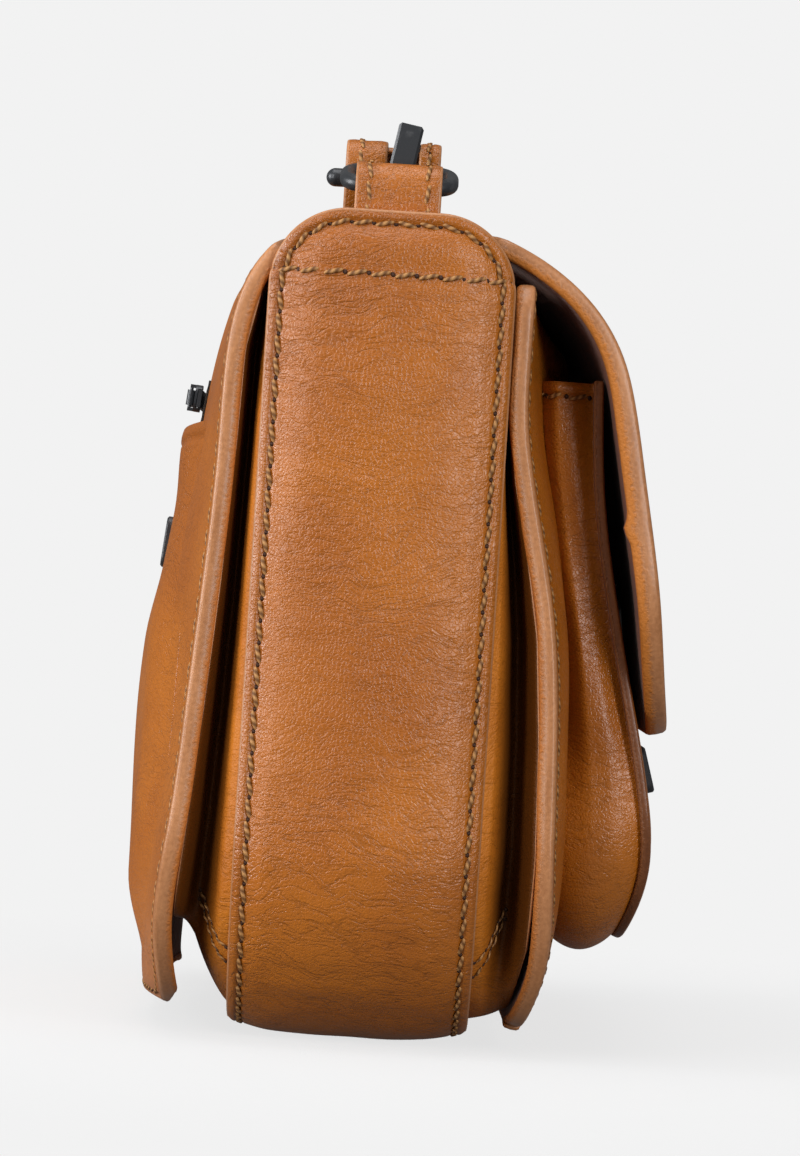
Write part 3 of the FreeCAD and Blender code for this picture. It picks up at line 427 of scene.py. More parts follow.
def pressed_board():
    """Stiff board on the floor of the bag, covered in dark paper cloth."""
    finish = Finish("pressed_board")
    fibre = finish.noise(900.0, 4.0, 0.65, (0.3, 1.0, 1.0))
    return finish.coat(fibre, (0.10, 0.075, 0.055, 1), (0.22, 0.17, 0.13, 1), (fibre, 0.0001, 0.6),
                       Roughness=0.8)


THREAD = twisted_thread()
HOLE_SHADE = needle_hole_shade()
BLACK = black_coat()
STEEL = bare_steel()
TAPE = woven_tape()
BOARD = pressed_board()
print("other finishes", [finish.name for finish in (THREAD, HOLE_SHADE, BLACK, STEEL, TAPE, BOARD)])

# %% [markdown]
# Every leather piece is a sheet with a thickness and a cut edge. It starts as a surface, a function
# of two lengths in millimetres, read on a grid. The shell helper adds the inner face at the leather's
# thickness and closes the border with a rounded rim, so one call gives the grain side, the painted
# edge and the flesh side as three materials on one closed mesh.

# %% Smooth lines and closed shells
BAG_MIDDLE = np.array([0.0, 0.0, 90.0])
RIM_STEPS = 6


def runs(points):
    """Distance along a path at each of its points."""
    return np.r_[0, np.cumsum(np.linalg.norm(np.diff(points, axis=0), axis=1))]


def unit(arrows):
    """Arrows brought to length 1."""
    return arrows / np.maximum(np.linalg.norm(arrows, axis=-1, keepdims=True), 1e-9)


class Line:
    """Natural cubic spline through points of a plane, read by distance along it."""

    def __init__(self, points, count=1500):
        p = np.asarray(points, float)
        t = runs(p)
        h = np.diff(t)[:, None]
        bend = np.zeros_like(p)
        inner = h[1:-1, 0]
        system = np.diag(2 * (h[:-1, 0] + h[1:, 0])) + np.diag(inner, 1) + np.diag(inner, -1)
        bend[1:-1] = np.linalg.solve(system, 6 * np.diff(np.diff(p, axis=0) / h, axis=0))
        u = np.linspace(0, t[-1], count)
        k = np.clip(np.searchsorted(t, u) - 1, 0, len(p) - 2)
        w = (u - t[k])[:, None]
        v = h[k] - w
        self.points = ((bend[k] * v ** 3 + bend[k + 1] * w ** 3) / (6 * h[k])
                       + (p[k] / h[k] - bend[k] * h[k] / 6) * v
                       + (p[k + 1] / h[k] - bend[k + 1] * h[k] / 6) * w)
        self.run = runs(self.points)
        self.length = self.run[-1]

    def at(self, b):
        """Both coordinates at a distance along the line."""
        return np.interp(b, self.run, self.points[:, 0]), np.interp(b, self.run, self.points[:, 1])

    def out_at(self, z):
        """First coordinate at a height, for a line that only rises or only falls."""
        order = np.argsort(self.points[:, 1])
        return np.interp(z, self.points[order, 1], self.points[order, 0])

    def reach(self, z, low=0.0, high=1e9):
        """Distance along the line where it first comes nearest to a height, between two distances."""
        near = np.abs(self.points[:, 1] - z) + 1e6 * ((self.run < low) | (self.run > high))
        return self.run[np.argmin(near)]

    def moved(self, distance):
        """Line set off square to this one, to the right of its run."""
        way = unit(np.gradient(self.points, axis=0))
        side = stacked(way[:, 1], -way[:, 0])
        return Line((self.points + side * distance)[::15])


def ease(t):
    """Smooth step from 0 to 1."""
    t = np.clip(t, 0, 1)
    return t * t * (3 - 2 * t)


def bell(t):
    """Bell curve that is 1 at 0."""
    return np.exp(-t ** 2)


def within(place, low, high):
    """Distance of a place from the nearer of two limits."""
    return np.minimum(place - low, high - place)


def spread(length, step, close=(0.3, 0.7, 1.2, 1.8, 2.4, 3.0, 3.7, 4.6)):
    """Places from 0 to length about a step apart, closer together near both ends."""
    inner = np.linspace(close[-1], length - close[-1], max(int((length - 2 * close[-1]) / step), 2) + 1)
    close = np.array((0.0,) + close[:-1])
    return np.r_[close, inner, length - close[::-1]]


def apart(places):
    """Places in order, leaving out any that comes less than 0.2 after the one before."""
    places = np.unique(places)
    return places[np.r_[True, np.diff(places) > 0.2]]


def ripple(points, size, seed):
    """Gentle unevenness between about -1 and 1: a sum of six slanted sine waves of a given length."""
    rng = np.random.default_rng(seed)
    way = unit(rng.normal(size=(6, 3)))
    turns = points @ (way.T * 2 * np.pi / size) * rng.uniform(0.6, 1.5, 6) + rng.uniform(0, 6.28, 6)
    return np.sin(turns).sum(-1) / 2.4


def turned_out(normal, points, centre, inwards=False):
    """Unit normals of a surface, all turned away from a centre, or towards it."""
    normal = unit(normal)
    away = ((points - centre) * normal).sum() > 0
    return normal if away != inwards else -normal


def shell(points, thick, centre=BAG_MIDDLE, edge=20.0, relief=0.0, round_by=0.35, inwards=False):
    """Closed sheet: outer grid, the same grid set in by a thickness, and a rounded rim round both."""
    shape = points.shape[:2]
    thick, edge, relief = [np.broadcast_to(value, shape) for value in (thick, edge, relief)]
    natural = np.cross(np.gradient(points, axis=0), np.gradient(points, axis=1))
    normal = turned_out(natural, points, centre, inwards)
    flip = (natural * normal).sum() < 0
    outer = points + normal * relief[..., None]
    inner = points - normal * thick[..., None]
    count = thick.size
    index = np.arange(count).reshape(shape)
    ring = np.r_[index[0, :-1], index[:-1, -1], index[-1, :0:-1], index[:0:-1, 0]]
    a, b = outer.reshape(-1, 3)[ring], inner.reshape(-1, 3)[ring]
    out = unit(np.cross(np.roll(a, -1, 0) - np.roll(a, 1, 0), normal.reshape(-1, 3)[ring]))
    out *= np.sign(((a - points.reshape(-1, 3).mean(0)) * out).sum())
    turn = np.linspace(0, np.pi, RIM_STEPS + 1)[1:-1, None, None]
    c, s = np.cos(turn), np.sin(turn)
    rim = (a + b) / 2 + (a - b) / 2 * np.sign(c) * np.abs(c) ** 0.6 + out * round_by * s ** 0.7
    rim = rim.reshape(-1, 3)
    verts = np.vstack([outer.reshape(-1, 3), inner.reshape(-1, 3), rim])
    band = np.vstack([ring, 2 * count + np.arange(len(rim)).reshape(-1, len(ring)), ring + count])
    band = np.hstack([band, band[:, :1]])
    lengths = runs(np.vstack([a, a[:1]])) / 1000
    rim_uv = stacked(lengths, np.linspace(0, 1, RIM_STEPS + 1)[:, None])
    steps = [np.diff(points, axis=k, prepend=points.take([0], k)) for k in (0, 1)]
    uv = stacked(*[np.cumsum(np.linalg.norm(step, axis=-1), k) for k, step in enumerate(steps)]) / 1000
    corner = verts[quads_of(band, False)]
    rim_way = np.cross(corner[:, 1] - corner[:, 0], corner[:, 3] - corner[:, 0])
    rim_flip = (rim_way * np.tile(out, (RIM_STEPS, 1))).sum() < 0
    grids = ((index, uv, flip), (index + count, uv, not flip), (band, rim_uv, rim_flip))
    quads = [quads_of(grid, turned) for grid, places, turned in grids]
    uvs = [quads_of(places, turned) for grid, places, turned in grids]
    finish = np.repeat((0, 2, 1), [len(part) for part in quads])
    far = np.r_[edge.ravel(), edge.ravel(), np.zeros(len(rim))]
    return {"verts": verts, "quads": np.vstack(quads), "uv": np.vstack(uvs), "finish": finish, "edge": far}


def joined(parts, *keys):
    """Points of several parts in metres, and their faces of each kind, numbered in one run."""
    start = np.cumsum([0] + [len(part["verts"]) for part in parts[:-1]])
    faces = [np.vstack([part[key] + s for part, s in zip(parts, start)]) for key in keys]
    return [np.vstack([part["verts"] for part in parts]) / 1000] + faces


def piece(name, parts, nodes, finishes=LEATHER, body="bag"):
    """One object from one or more shells, riding on a body in place of CAD nodes."""
    verts, quads = joined(parts, "quads")
    finish_of = np.hstack([part["finish"] for part in parts])
    uv = np.vstack([part["uv"] for part in parts])
    thing = mesh_object(name, verts, quads.tolist(), finishes, finish_of, uv)
    mark = thing.data.attributes.new("edge", "FLOAT", "POINT")
    mark.data.foreach_set("value", np.hstack([part["edge"] for part in parts]))
    thing.data.validate()
    if body:
        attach(thing, body)
    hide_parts(*nodes)
    print(name, len(verts), "points", len(quads), "faces")
    return thing


# %% [markdown]
# Saddle stitches are short slanted lengths of thread that dip into holes at both ends. One stitch is
# a small tube of six sides, bowed like a bridge, and each needle hole is a small dark lens between two
# stitches, painted shade for the shadow in the hole. A whole row sets both at every pitch along a path,
# all worked out at once by broadcasting.

# %% Rows of stitches
PITCH = 4.4
STITCH_PLACES = np.array([-1.0, -0.9, -0.5, 0.0, 0.5, 0.9, 1.0])[:, None]
STITCH_SIDES = 6


def on_surface(surface, a, b, centre=BAG_MIDDLE, step=0.25):
    """Points of a surface and the unit normals there, from small differences both ways."""
    point = surface(a, b)
    first, second = surface(a + step, b) - surface(a - step, b), surface(a, b + step) - surface(a, b - step)
    return point, turned_out(np.cross(first, second), point, centre)


def stitch_row(path, normal, lift=0.0, pitch=PITCH, girth=0.48, slant=14.0):
    """Tubes along a path: length runs with the path, a sixth-power taper closes each end. Between
    them sit holes: six points on an ellipse, one point above and one below."""
    run = runs(path)
    count = max(int(run[-1] / pitch), 1)
    c, s = math.cos(math.radians(slant)), math.sin(math.radians(slant))

    def read(values, at):
        return stacked(*[np.interp(at, run, column) for column in values.T])

    def placed(at, *offsets):
        """Points given ahead, across and above every place along the path, slanted to the path."""
        along = unit(read(path, at + 0.4) - read(path, at - 0.4))
        side = unit(np.cross(read(normal, at), along))
        ways = np.stack([along * c + side * s, side * c - along * s, np.cross(along, side)], 1)
        offsets = stacked(*offsets).reshape(-1, 3)
        return (read(path, at)[:, None] + offsets @ ways).reshape(-1, 3)

    ahead = STITCH_PLACES * pitch * 0.47
    around = np.arange(STITCH_SIDES) * 2 * np.pi / STITCH_SIDES
    thick = girth * np.sqrt(1.02 - np.abs(STITCH_PLACES) ** 6)
    height = girth * (0.62 - 0.9 * STITCH_PLACES ** 6) + lift + thick * 0.8 * np.sin(around)
    tubes = placed((np.arange(count) + 0.5) * run[-1] / count, ahead, thick * np.cos(around), height)
    ring = np.arange(height.size).reshape(height.shape)
    caps = np.vstack([ring[0], ring[-1, ::-1]])
    ring = np.hstack([ring, ring[:, :1]])
    start = (np.arange(count) * height.size)[:, None, None]
    uv = stacked(ahead / 1000, np.linspace(0, 1, STITCH_SIDES + 1))
    long, wide = np.r_[0.50 * np.cos(around), 0, 0], np.r_[0.55 * np.sin(around), 0, 0]
    deep = np.r_[0 * around, 0.1, -0.3]
    # The holes are dark lenses, painted shade where the thread goes down into the leather.
    holes = placed(np.arange(count + 1) * run[-1] / count, long, wide, deep + lift + 0.06)
    turn = np.arange(STITCH_SIDES)
    after = (turn + 1) % STITCH_SIDES
    tris = np.vstack([stacked(turn, after, STITCH_SIDES), stacked(after, turn, STITCH_SIDES + 1)])
    tris = tris + len(tubes) + (np.arange(count + 1) * deep.size)[:, None, None]
    return {"verts": np.vstack([tubes, holes]), "quads": (quads_of(ring, True) + start).reshape(-1, 4),
            "tris": tris.reshape(-1, 3), "caps": (caps + start).reshape(-1, STITCH_SIDES),
            "uv": np.tile(quads_of(uv, True), (count, 1, 1))}


def sewn(name, rows):
    """One object from rows of stitches and their holes, riding on the bag."""
    verts, quads, caps, tris = joined(rows, "quads", "caps", "tris")
    uv = np.vstack([row["uv"] for row in rows]).reshape(-1, 2)
    uv = np.vstack([uv, np.zeros((caps.size + tris.size, 2))])
    finish_of = np.repeat((0, 1), (len(quads) + len(caps), len(tris)))
    faces = quads.tolist() + caps.tolist() + tris.tolist()
    thing = mesh_object(name, verts, faces, [THREAD, HOLE_SHADE], finish_of, uv)
    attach(thing, "bag")
    print(name, len(caps) // 2, "stitches")


# %% [markdown]
# The end strip is what the photograph shows most of: a band of leather that runs down one end, under
# the bag and up the other, with rounded tops. Its border is turned under and sewn, so it swells
# between the edge and the stitches and dips at the row. The band is a crowned section carried along a
# U of straight runs and quarter circles.

# %% End strip
HEIGHT = 168.6
HALF = 105.0
EDGE = 24.5
BASE_TURN = 45.0
TOP_TURN = 15.5
STRIP_SEAM = 12.4
STRIP_INSET = 2.2
STRIP_DROP = 2.5
STRIP_PILLOW = 1.6


class UPath:
    """Path in X and Z: down one end, round a quarter circle, along the floor and up the other end."""

    def __init__(self, tall, turn, corner_x, corner_z):
        self.tall = tall
        self.turn = turn
        self.corner = corner_x, corner_z
        self.run = 2 * tall + math.pi * turn - 2 * corner_x

    def at(self, b):
        """Place and outward way in X and Z at a distance along the path, and share of the corner passed."""
        right = b > self.run / 2
        m = np.where(right, self.run - b, b)
        angle = np.clip((m - self.tall) / self.turn, 0, np.pi / 2)
        floor = np.maximum(m - self.tall - self.turn * np.pi / 2, 0)
        x = self.corner[0] - self.turn * np.cos(angle) + floor
        z = self.corner[1] - self.turn * np.sin(angle) + np.maximum(self.tall - m, 0)
        sign = np.where(right, -1.0, 1.0)
        return x * sign, z, -np.cos(angle) * sign, -np.sin(angle), angle / (np.pi / 2)


strip_path = UPath(HEIGHT - BASE_TURN, BASE_TURN, BASE_TURN - HALF, BASE_TURN)
STRIP_RUN = strip_path.run


def strip_edge(y, b):
    """Distance from the border: inside of a rounded rectangle, measured at both rounded tops."""
    h = np.abs(y) - (EDGE - TOP_TURN)
    v = TOP_TURN - within(b, 0, STRIP_RUN)
    beyond = np.hypot(np.maximum(h, 0), np.maximum(v, 0))
    return TOP_TURN - beyond - np.minimum(np.maximum(h, v), 0)


def strip_surface(y, b):
    """Outer line of the U, dropped at its borders by the fourth power of the share of half width, and
    raised again inside the seam like a low pillow, except under the bag."""
    x, z, nx, nz, corner = strip_path.at(b)
    pillow = STRIP_PILLOW * (1 - (y / EDGE) ** 2) * ease((strip_edge(y, b) - STRIP_INSET) / 4)
    drop = STRIP_DROP * np.abs(y / EDGE) ** 4 - pillow * (1 - ease((corner - 0.1) / 0.6))
    return stacked(x - nx * drop, y, z - nz * drop)


def welt(edge, row, swell=0.30, dip=0.55):
    """Relief beside a seam: a low swelling out to the cut edge and a dip along the stitches."""
    return swell * np.sin(np.pi * np.clip(edge / row, 0, 1)) - dip * bell((edge - row) / 0.52)


def make_strip():
    """Grid across and along the strip; each column starts and ends on the rounded top."""
    across = np.sin(np.linspace(-np.pi / 2, np.pi / 2, 85)) * (EDGE - 0.02)
    start = TOP_TURN - np.sqrt(TOP_TURN ** 2 - np.maximum(np.abs(across) - EDGE + TOP_TURN, 0) ** 2)
    share = spread(STRIP_RUN, 1.9)[:, None] / STRIP_RUN
    b = start + share * (STRIP_RUN - 2 * start)
    y = np.broadcast_to(across, b.shape)
    points = strip_surface(y, b)
    edge = strip_edge(y, b)
    relief = welt(edge, STRIP_INSET)
    relief -= 0.42 * bell((within(b, 0, STRIP_RUN) - STRIP_SEAM) / 0.6)
    waves = 0.22 * ripple(points, 42.0, 3) + 0.10 * ripple(points * (1, 1, 2.2), 15.0, 4)
    relief += ease((edge - 3) / 6) * waves
    piece("end_strip", [shell(points, 2.0, edge=edge, relief=relief, round_by=0.6)], ["gusset_strip"])


def strip_rows():
    """Rows along both borders and over both tops, and a short row across below each top."""
    turn = TOP_TURN - STRIP_INSET
    flat = EDGE - TOP_TURN
    arc = np.linspace(0, np.pi / 2, 24)
    crown_y = np.r_[np.linspace(0, flat, 8)[:-1], flat + turn * np.sin(arc)]
    crown_b = np.r_[np.full(7, STRIP_INSET), TOP_TURN - turn * np.cos(arc)]
    side = np.linspace(TOP_TURN, STRIP_RUN - TOP_TURN, 400)[1:-1]
    y = np.r_[crown_y, np.full(side.size, EDGE - STRIP_INSET), crown_y[::-1]]
    b = np.r_[crown_b, side, STRIP_RUN - crown_b[::-1]]
    rows = [stitch_row(*on_surface(strip_surface, s * y, b), lift=-0.34, slant=15 * s) for s in (-1, 1)]
    bar = np.linspace(-EDGE + 1.0, EDGE - 1.0, 60)
    for place in (STRIP_SEAM, STRIP_RUN - STRIP_SEAM):
        rows.append(stitch_row(*on_surface(strip_surface, bar, np.full(60, place)), lift=-0.28))
    sewn("end_strip_stitches", rows)


make_strip()
strip_rows()

# %% [markdown]
# Between the strip and each panel sits a gusset folded inwards like an accordion. Beside the strip it
# shows a narrow lip, then dives into the fold and comes back up behind the panel. That section runs
# along the same U as the strip. At the foot the fold opens into a plain web that climbs from the strip
# to the panel like the side of a boat. The fold lies in deep shade, so its depth also goes into the
# attribute that darkens the leather there, as painted shade.

# %% Folded gussets
BACK_SIDE = [(13.7, 0.030), (15.7, 0.135), (13.7, 0.262), (11.7, 0.404), (10.0, 0.545),
             (8.5, 0.718), (7.9, 0.830), (5.0, 0.910), (0.7, 0.952), (-3.5, 0.973)]
FRONT_SIDE = [(7.9, 0.030), (10.8, 0.130), (11.3, 0.240), (10.5, 0.385), (8.9, 0.505),
              (6.3, 0.590), (2.6, 0.690), (0.7, 0.760), (0.4, 0.840), (0.5, 0.929)]
PANEL = 3.8
FOLD_DEPTH = 17.0
TUCKS = ((154.0, 148.0), (159.0, 150.6))
# The gusset's burnish of 0.94 mostly darkens the fold, as painted shade.
GUSSET = grained_leather("gusset_leather", (0.52, 0.160, 0.010, 1), (0.38, 0.104, 0.005, 1), 0.45, 0.94, 0.25)


def far_lean(x, z):
    """Share by which the back's far lower corner hangs straight down, where the near one draws in."""
    return ease((x - 10) / 70) * ease((60 - z) / 30)


def opening(corner):
    """Share by which the fold has opened into a web, from the share of the corner passed."""
    return ease((corner - 0.22) / 0.6)


def fold_surface(side_line, sign, panel, lift):
    """Surface of a gusset: the first length runs across the V, 0 to 1, the second along the U. All
    depths are measured inwards from the U: where the lip starts, the fold, and the end at the panel."""
    out, share = np.array(side_line).T
    near = EDGE - 0.4

    def surface(q, b):
        x, z, nx, nz, corner = strip_path.at(b)
        opened = opening(corner)
        start = 2.6 + 6.0 * ease((z - 122) / 25) + 2.6 * opened
        end = 5.2 + lift * opened
        level = np.clip(z - nz * end, 0, HEIGHT) / HEIGHT
        far = EDGE + np.interp(level, share, out) - panel
        far = far + (5.5 * far_lean(x, z) if sign > 0 else 0)
        lip = start + 1.4 * ease(q / 0.3)
        back = ease((q - 0.62) / 0.38)
        fold = lip + (FOLD_DEPTH - lip) * ease((q - 0.2) / 0.42) * (1 - back) + (end - lip) * back
        web = start + (end - start) * q ** 1.5
        inward = fold + (web - fold) * opened
        return stacked(x - nx * inward, sign * (near + (far - near) * q), z - nz * inward)

    return surface


def make_fold(name, side_line, sign, panel, lift, top, node):
    """Gusset as a thin sheet from one top end round the U to the other, two tucks sewn at each foot."""
    surface = fold_surface(side_line, sign, panel, lift)
    begin = HEIGHT * (1 - top)
    q, b = np.meshgrid(np.linspace(0, 1, 33), np.linspace(begin, STRIP_RUN - begin, 240), indexing="ij")
    points = surface(q, b)
    waves = stacked(ripple(points, 30.0, 8), 0, ripple(points, 30.0, 9))
    points = points + 0.35 * waves * (np.sin(np.pi * q) ** 2)[..., None]
    # Here the edge attribute is the fold's depth, not a distance from the edge: it paints shade into the
    # fold, less where the fold opens at the foot.
    fold_shade_share = 1 - 0.45 * opening(strip_path.at(b)[4])
    part = shell(points, 0.9, round_by=0.15, edge=6 - 6 * ease((q - 0.15) / 0.4) * fold_shade_share)
    piece(name, [part], [node], (GUSSET, PAINT, SUEDE))
    rows = []
    for first, last in TUCKS:
        q, b = np.linspace(0.08, 0.60, 40), np.linspace(first, last, 40)
        for place in (b, STRIP_RUN - b):
            path = on_surface(surface, q, place, step=0.01)
            rows.append(stitch_row(*path, lift=0.1, pitch=3.0, girth=0.30))
    sewn(name + "_tucks", rows)


make_fold("rear_gusset", BACK_SIDE, 1, PANEL, 23.0, 0.905, "rear_fold_gusset")
make_fold("front_gusset", FRONT_SIDE, -1, 0.0, 3.0, 0.90, "front_fold_gusset")

# %% [markdown]
# The back, the front and the pockets are sheets with round corners. One helper gives their half width
# at a height, one lays a grid of rows that are squeezed to that width, one lets the leather wave a
# little, and one sews their outline.

# %% Sheets with round corners
def round_half(z, half, turn, foot, inset=0.0):
    """Half width at a height of a sheet with round lower corners, or of a line inset from its border."""
    low = np.maximum(foot + turn - z, 0)
    return half - turn + np.sqrt(np.clip((turn - inset) ** 2 - low ** 2, 0, None))


def sheet_grid(length, half_at, full, turn=0.0, more=(), steps=(1.9, 2.4)):
    """Grid of a sheet squeezed to its width: X, distance from its foot and distance from its border.
    The rows lie closer together at both ends and round the lower corners."""
    corner = turn * (1 - np.cos(np.linspace(0.02, 0.5, 9)))
    b = apart(np.r_[spread(length, steps[0]), more, corner])[:, None]
    t = spread(2 * full, steps[1]) / full - 1
    half = half_at(b)
    x, side = half * t, half * (1 - np.abs(t))
    return x, np.broadcast_to(b, x.shape), np.minimum(side, within(b, 0, length) + 0.02)


def uneven(points, edge, high, size, seed):
    """Gentle waves of the leather, which die out towards its border."""
    return ease((edge - 4) / 10) * high * ripple(points, size, seed)


def outline_rows(surface, half_at, inset, low, high, count, flats, **thread):
    """Rows of stitches up both sides of a sheet and across it at given places."""
    b = np.linspace(low, high, count)
    paths = [(sign * half_at(b, inset), b) for sign in (-1, 1)]
    paths += [(np.linspace(-half, half, dots), np.full(dots, place)) for half, place, dots in flats]
    return [stitch_row(*on_surface(surface, x, along), **thread) for x, along in paths]


# %% [markdown]
# The back and the flap are one piece of leather on the real bag: it rises up the back, turns over the
# top and hangs down the front. Its side line is one spline. The width changes along that line: round
# lower corners, full width up the back, a waist between the ring tabs, and the wide flap with round
# corners. It is one sheet that bends across the flap's hinge.

# %% Back and flap
FLAP_SIDE = [(31.0, -0.6), (16.5, 0.1), (1.5, -3.6), (-9.0, -9.2), (-17.3, -16.6), (-23.2, -26.2),
             (-25.8, -34.5), (-28.6, -48.0), (-33.6, -75.0), (-37.2, -98.0), (-38.4, -103.0)]
hide_line = Line([(EDGE + out, share * HEIGHT) for out, share in BACK_SIDE]
                 + [(back - EDGE, HEIGHT + up) for back, up in FLAP_SIDE])
middle_line = Line([(19.6, 4), (19.9, 22), (20.3, 42), (20.9, 56), (20.7, 66), (19.8, 76), (18.1, 90),
                    (16.2, 103), (13.7, 123), (10.0, 145), (4.0, 164)])
PANEL_HALF = 100.0
PANEL_TURN = 40.0
PANEL_FOOT = 5.0
SEAM_FOOT = 5.1
FLAP_HALF = 96.0
FLAP_TURN = 34.0
FLAP_HEM = 68.3
WAIST = 74.0
BACK_TOP = 164.0
BACK_SEAM = 1.7
BACK_END = hide_line.reach(BACK_TOP, 0, 180)
CROWN = hide_line.run[np.argmax(hide_line.points[:, 1])]
FLAP_FOOT = hide_line.reach(FLAP_HEM, CROWN)
RIM_LEVELS = [66, 108, 110, 130, 142, 155]
RIM_THICKNESS = [4.4, 4.8, 4.6, 4.6, 4.2, 3.6]


def back_swell(x, b):
    """How far the back stands out of its side line: up to the middle line half-way along, from which
    it falls to the sides as a quarter sine over a length that changes with height."""
    y, z = hide_line.at(b)
    full = np.interp(z, middle_line.points[:, 1], middle_line.points[:, 0]) + EDGE - y
    reach = 44 + 30 * bell((z - 60) / 22)
    full = np.maximum(full, 0) * ease((BACK_TOP - z) / 14) * (b < BACK_END)
    share = np.sin(np.pi / 2 * np.clip((hide_half(b) - np.abs(x)) / reach, 0, 1))
    return full * (share + (1 - share) * far_lean(x, z))


def hide_surface(x, b):
    """Side line carried along the bag, with the back swelling out."""
    y, z = hide_line.at(b)
    return stacked(x, y + back_swell(x, b), z)


def hide_half(b, inset=0.0):
    """Half width along the side line: round foot, full back, waist, wide flap, round foot."""
    y, z = hide_line.at(b)
    foot = round_half(z, PANEL_HALF, PANEL_TURN, PANEL_FOOT, inset)
    hem = round_half(z, FLAP_HALF, FLAP_TURN, FLAP_HEM, inset)
    waist = WAIST - inset
    to_waist = ease((b - BACK_END + 5 + inset) / 7)
    to_flap = ease((-y - 15.5 + inset) / 7)
    return np.where(b > CROWN, waist + (hem - waist) * to_flap, foot + (waist - foot) * to_waist)


def flap_thickness(x, z, b):
    """Flap and lining together, by height, with a small bump on the side edges and up to 3 mm more
    away from the sides, just past the crown."""
    bump = 1.1 * bell((z - 109.5) / 1.8) * ease((np.abs(x) - 84) / 8)
    inside = 3.0 * ease((88 - np.abs(x)) / 50) * ease((z - 136) / 8) * ease((b - CROWN) / 12)
    return np.interp(z, RIM_LEVELS, RIM_THICKNESS) + bump + inside


def make_hide():
    """Sheet from the free foot of the back to the flap's hem. The flap's cut edges get their own finish."""
    turn_over = np.linspace(BACK_END - 6, BACK_END + 3, 14)
    x, b, edge = sheet_grid(FLAP_FOOT, hide_half, PANEL_HALF, PANEL_TURN, turn_over, (1.7, 2.2))
    points = hide_surface(x, b)
    back_thickness = PANEL - 0.2 * ease((b - BACK_END) / 10)
    thick = np.where(b > CROWN, flap_thickness(x, points[..., 2], b), back_thickness)
    sewn_share = 1 - ease((b - BACK_END + 12) / 8)
    relief = sewn_share * welt(edge, BACK_SEAM, 0.1, 0.32) + uneven(points, edge, 0.34, 55.0, 12)
    part = shell(points, thick, edge=edge, relief=relief, round_by=1.1)
    in_front = part["verts"][part["quads"]].mean(1)[:, 1] < 0
    part["finish"] = np.where((part["finish"] == 1) & in_front, 3, part["finish"])
    nodes = ["back_panel", "flap", "flap_lining"]
    hide = piece("back_and_flap", [part], nodes, LEATHER + (FLAP_EDGE,), body=None)
    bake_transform(hide)


def hide_rows():
    """Rows inside the outline of the back; the flap's cut edges are left plain."""
    low = hide_line.reach(SEAM_FOOT + BACK_SEAM, 0, 40)
    flats = [(PANEL_HALF - PANEL_TURN, low, 90)]
    rows = outline_rows(hide_surface, hide_half, BACK_SEAM, low, BACK_END - 10, 500, flats,
                        lift=-0.28, girth=0.32)
    sewn("back_stitches", rows)


make_hide()
hide_rows()

# %% [markdown]
# The front panel is a sheet with a thick painted edge. Behind its edge it swells out a little, as sewn
# leather does, so a strip of its face shows beside the edge from the end of the bag. Half-way along it
# has nothing to hold it back, so it slumps forward under the flap and its top edge sags.

# %% Front panel
front_line = Line([(-EDGE - out, share * HEIGHT) for out, share in FRONT_SIDE]).moved(-PANEL)
FRONT_TOP = 0.929 * HEIGHT
FRONT_TURN = 8.0
FRONT_SEAM = 1.3


def front_surface(x, b):
    """Outer side line carried along the bag. It swells 3 mm within 16 mm of the ends and 8 mm more
    towards the middle under the flap, and its top edge dips 3 mm there."""
    y, z = front_line.at(b)
    up = np.clip((z - PANEL_FOOT) / (FRONT_TOP - PANEL_FOOT), 0, 1)
    inside = np.clip((PANEL_HALF - np.abs(x)) / 16, 0, 1)
    out = 3.0 * np.sin(np.pi / 2 * inside) * np.sin(np.pi * up) ** 0.7
    out = out + 7.8 * ease((90 - np.abs(x)) / 45) * ease((z - 85) / 30) * ease((157 - z) / 15)
    dip = 3.0 * ease((90 - np.abs(x)) / 80) * ease((z - 125) / 30)
    return stacked(x, y - out, z - dip)


def front_half(b, inset=0.0):
    """Half width, with round corners below and smaller ones above."""
    z = front_line.at(b)[1]
    low = round_half(z, PANEL_HALF, PANEL_TURN, PANEL_FOOT, inset)
    return np.minimum(low, round_half(-z, PANEL_HALF, FRONT_TURN, -FRONT_TOP, inset))


def make_front():
    """Sheet from foot to top, its columns squeezed to the width."""
    x, b, edge = sheet_grid(front_line.length, front_half, PANEL_HALF, PANEL_TURN)
    points = front_surface(x, b)
    relief = welt(edge, FRONT_SEAM, 0.1, 0.25) + uneven(points, edge, 0.25, 50.0, 21)
    thick = PANEL + 0.15 * ripple(points, 24.0, 22)
    part = shell(points, thick, edge=edge, relief=relief, round_by=1.3)
    piece("front_panel_leather", [part], ["front_panel"])


def front_rows():
    """Rows inside the outline on the outer face."""
    low, high = front_line.reach(SEAM_FOOT + FRONT_SEAM), front_line.reach(FRONT_TOP - FRONT_SEAM)
    flats = [(PANEL_HALF - PANEL_TURN, low, 90), (PANEL_HALF - FRONT_TURN, high, 120)]
    rows = outline_rows(front_surface, front_half, FRONT_SEAM, low, high, 500, flats, lift=-0.24, girth=0.34)
    sewn("front_panel_stitches", rows)


make_front()
front_rows()

# %% [markdown]
# The front pocket is a pouch: a front sheet that bellies out below the flap, joined to the front
# panel by a soft U-shaped wall. From the end of the bag that wall shows its folds, a turned hem at the
# top and a full, rounded foot.

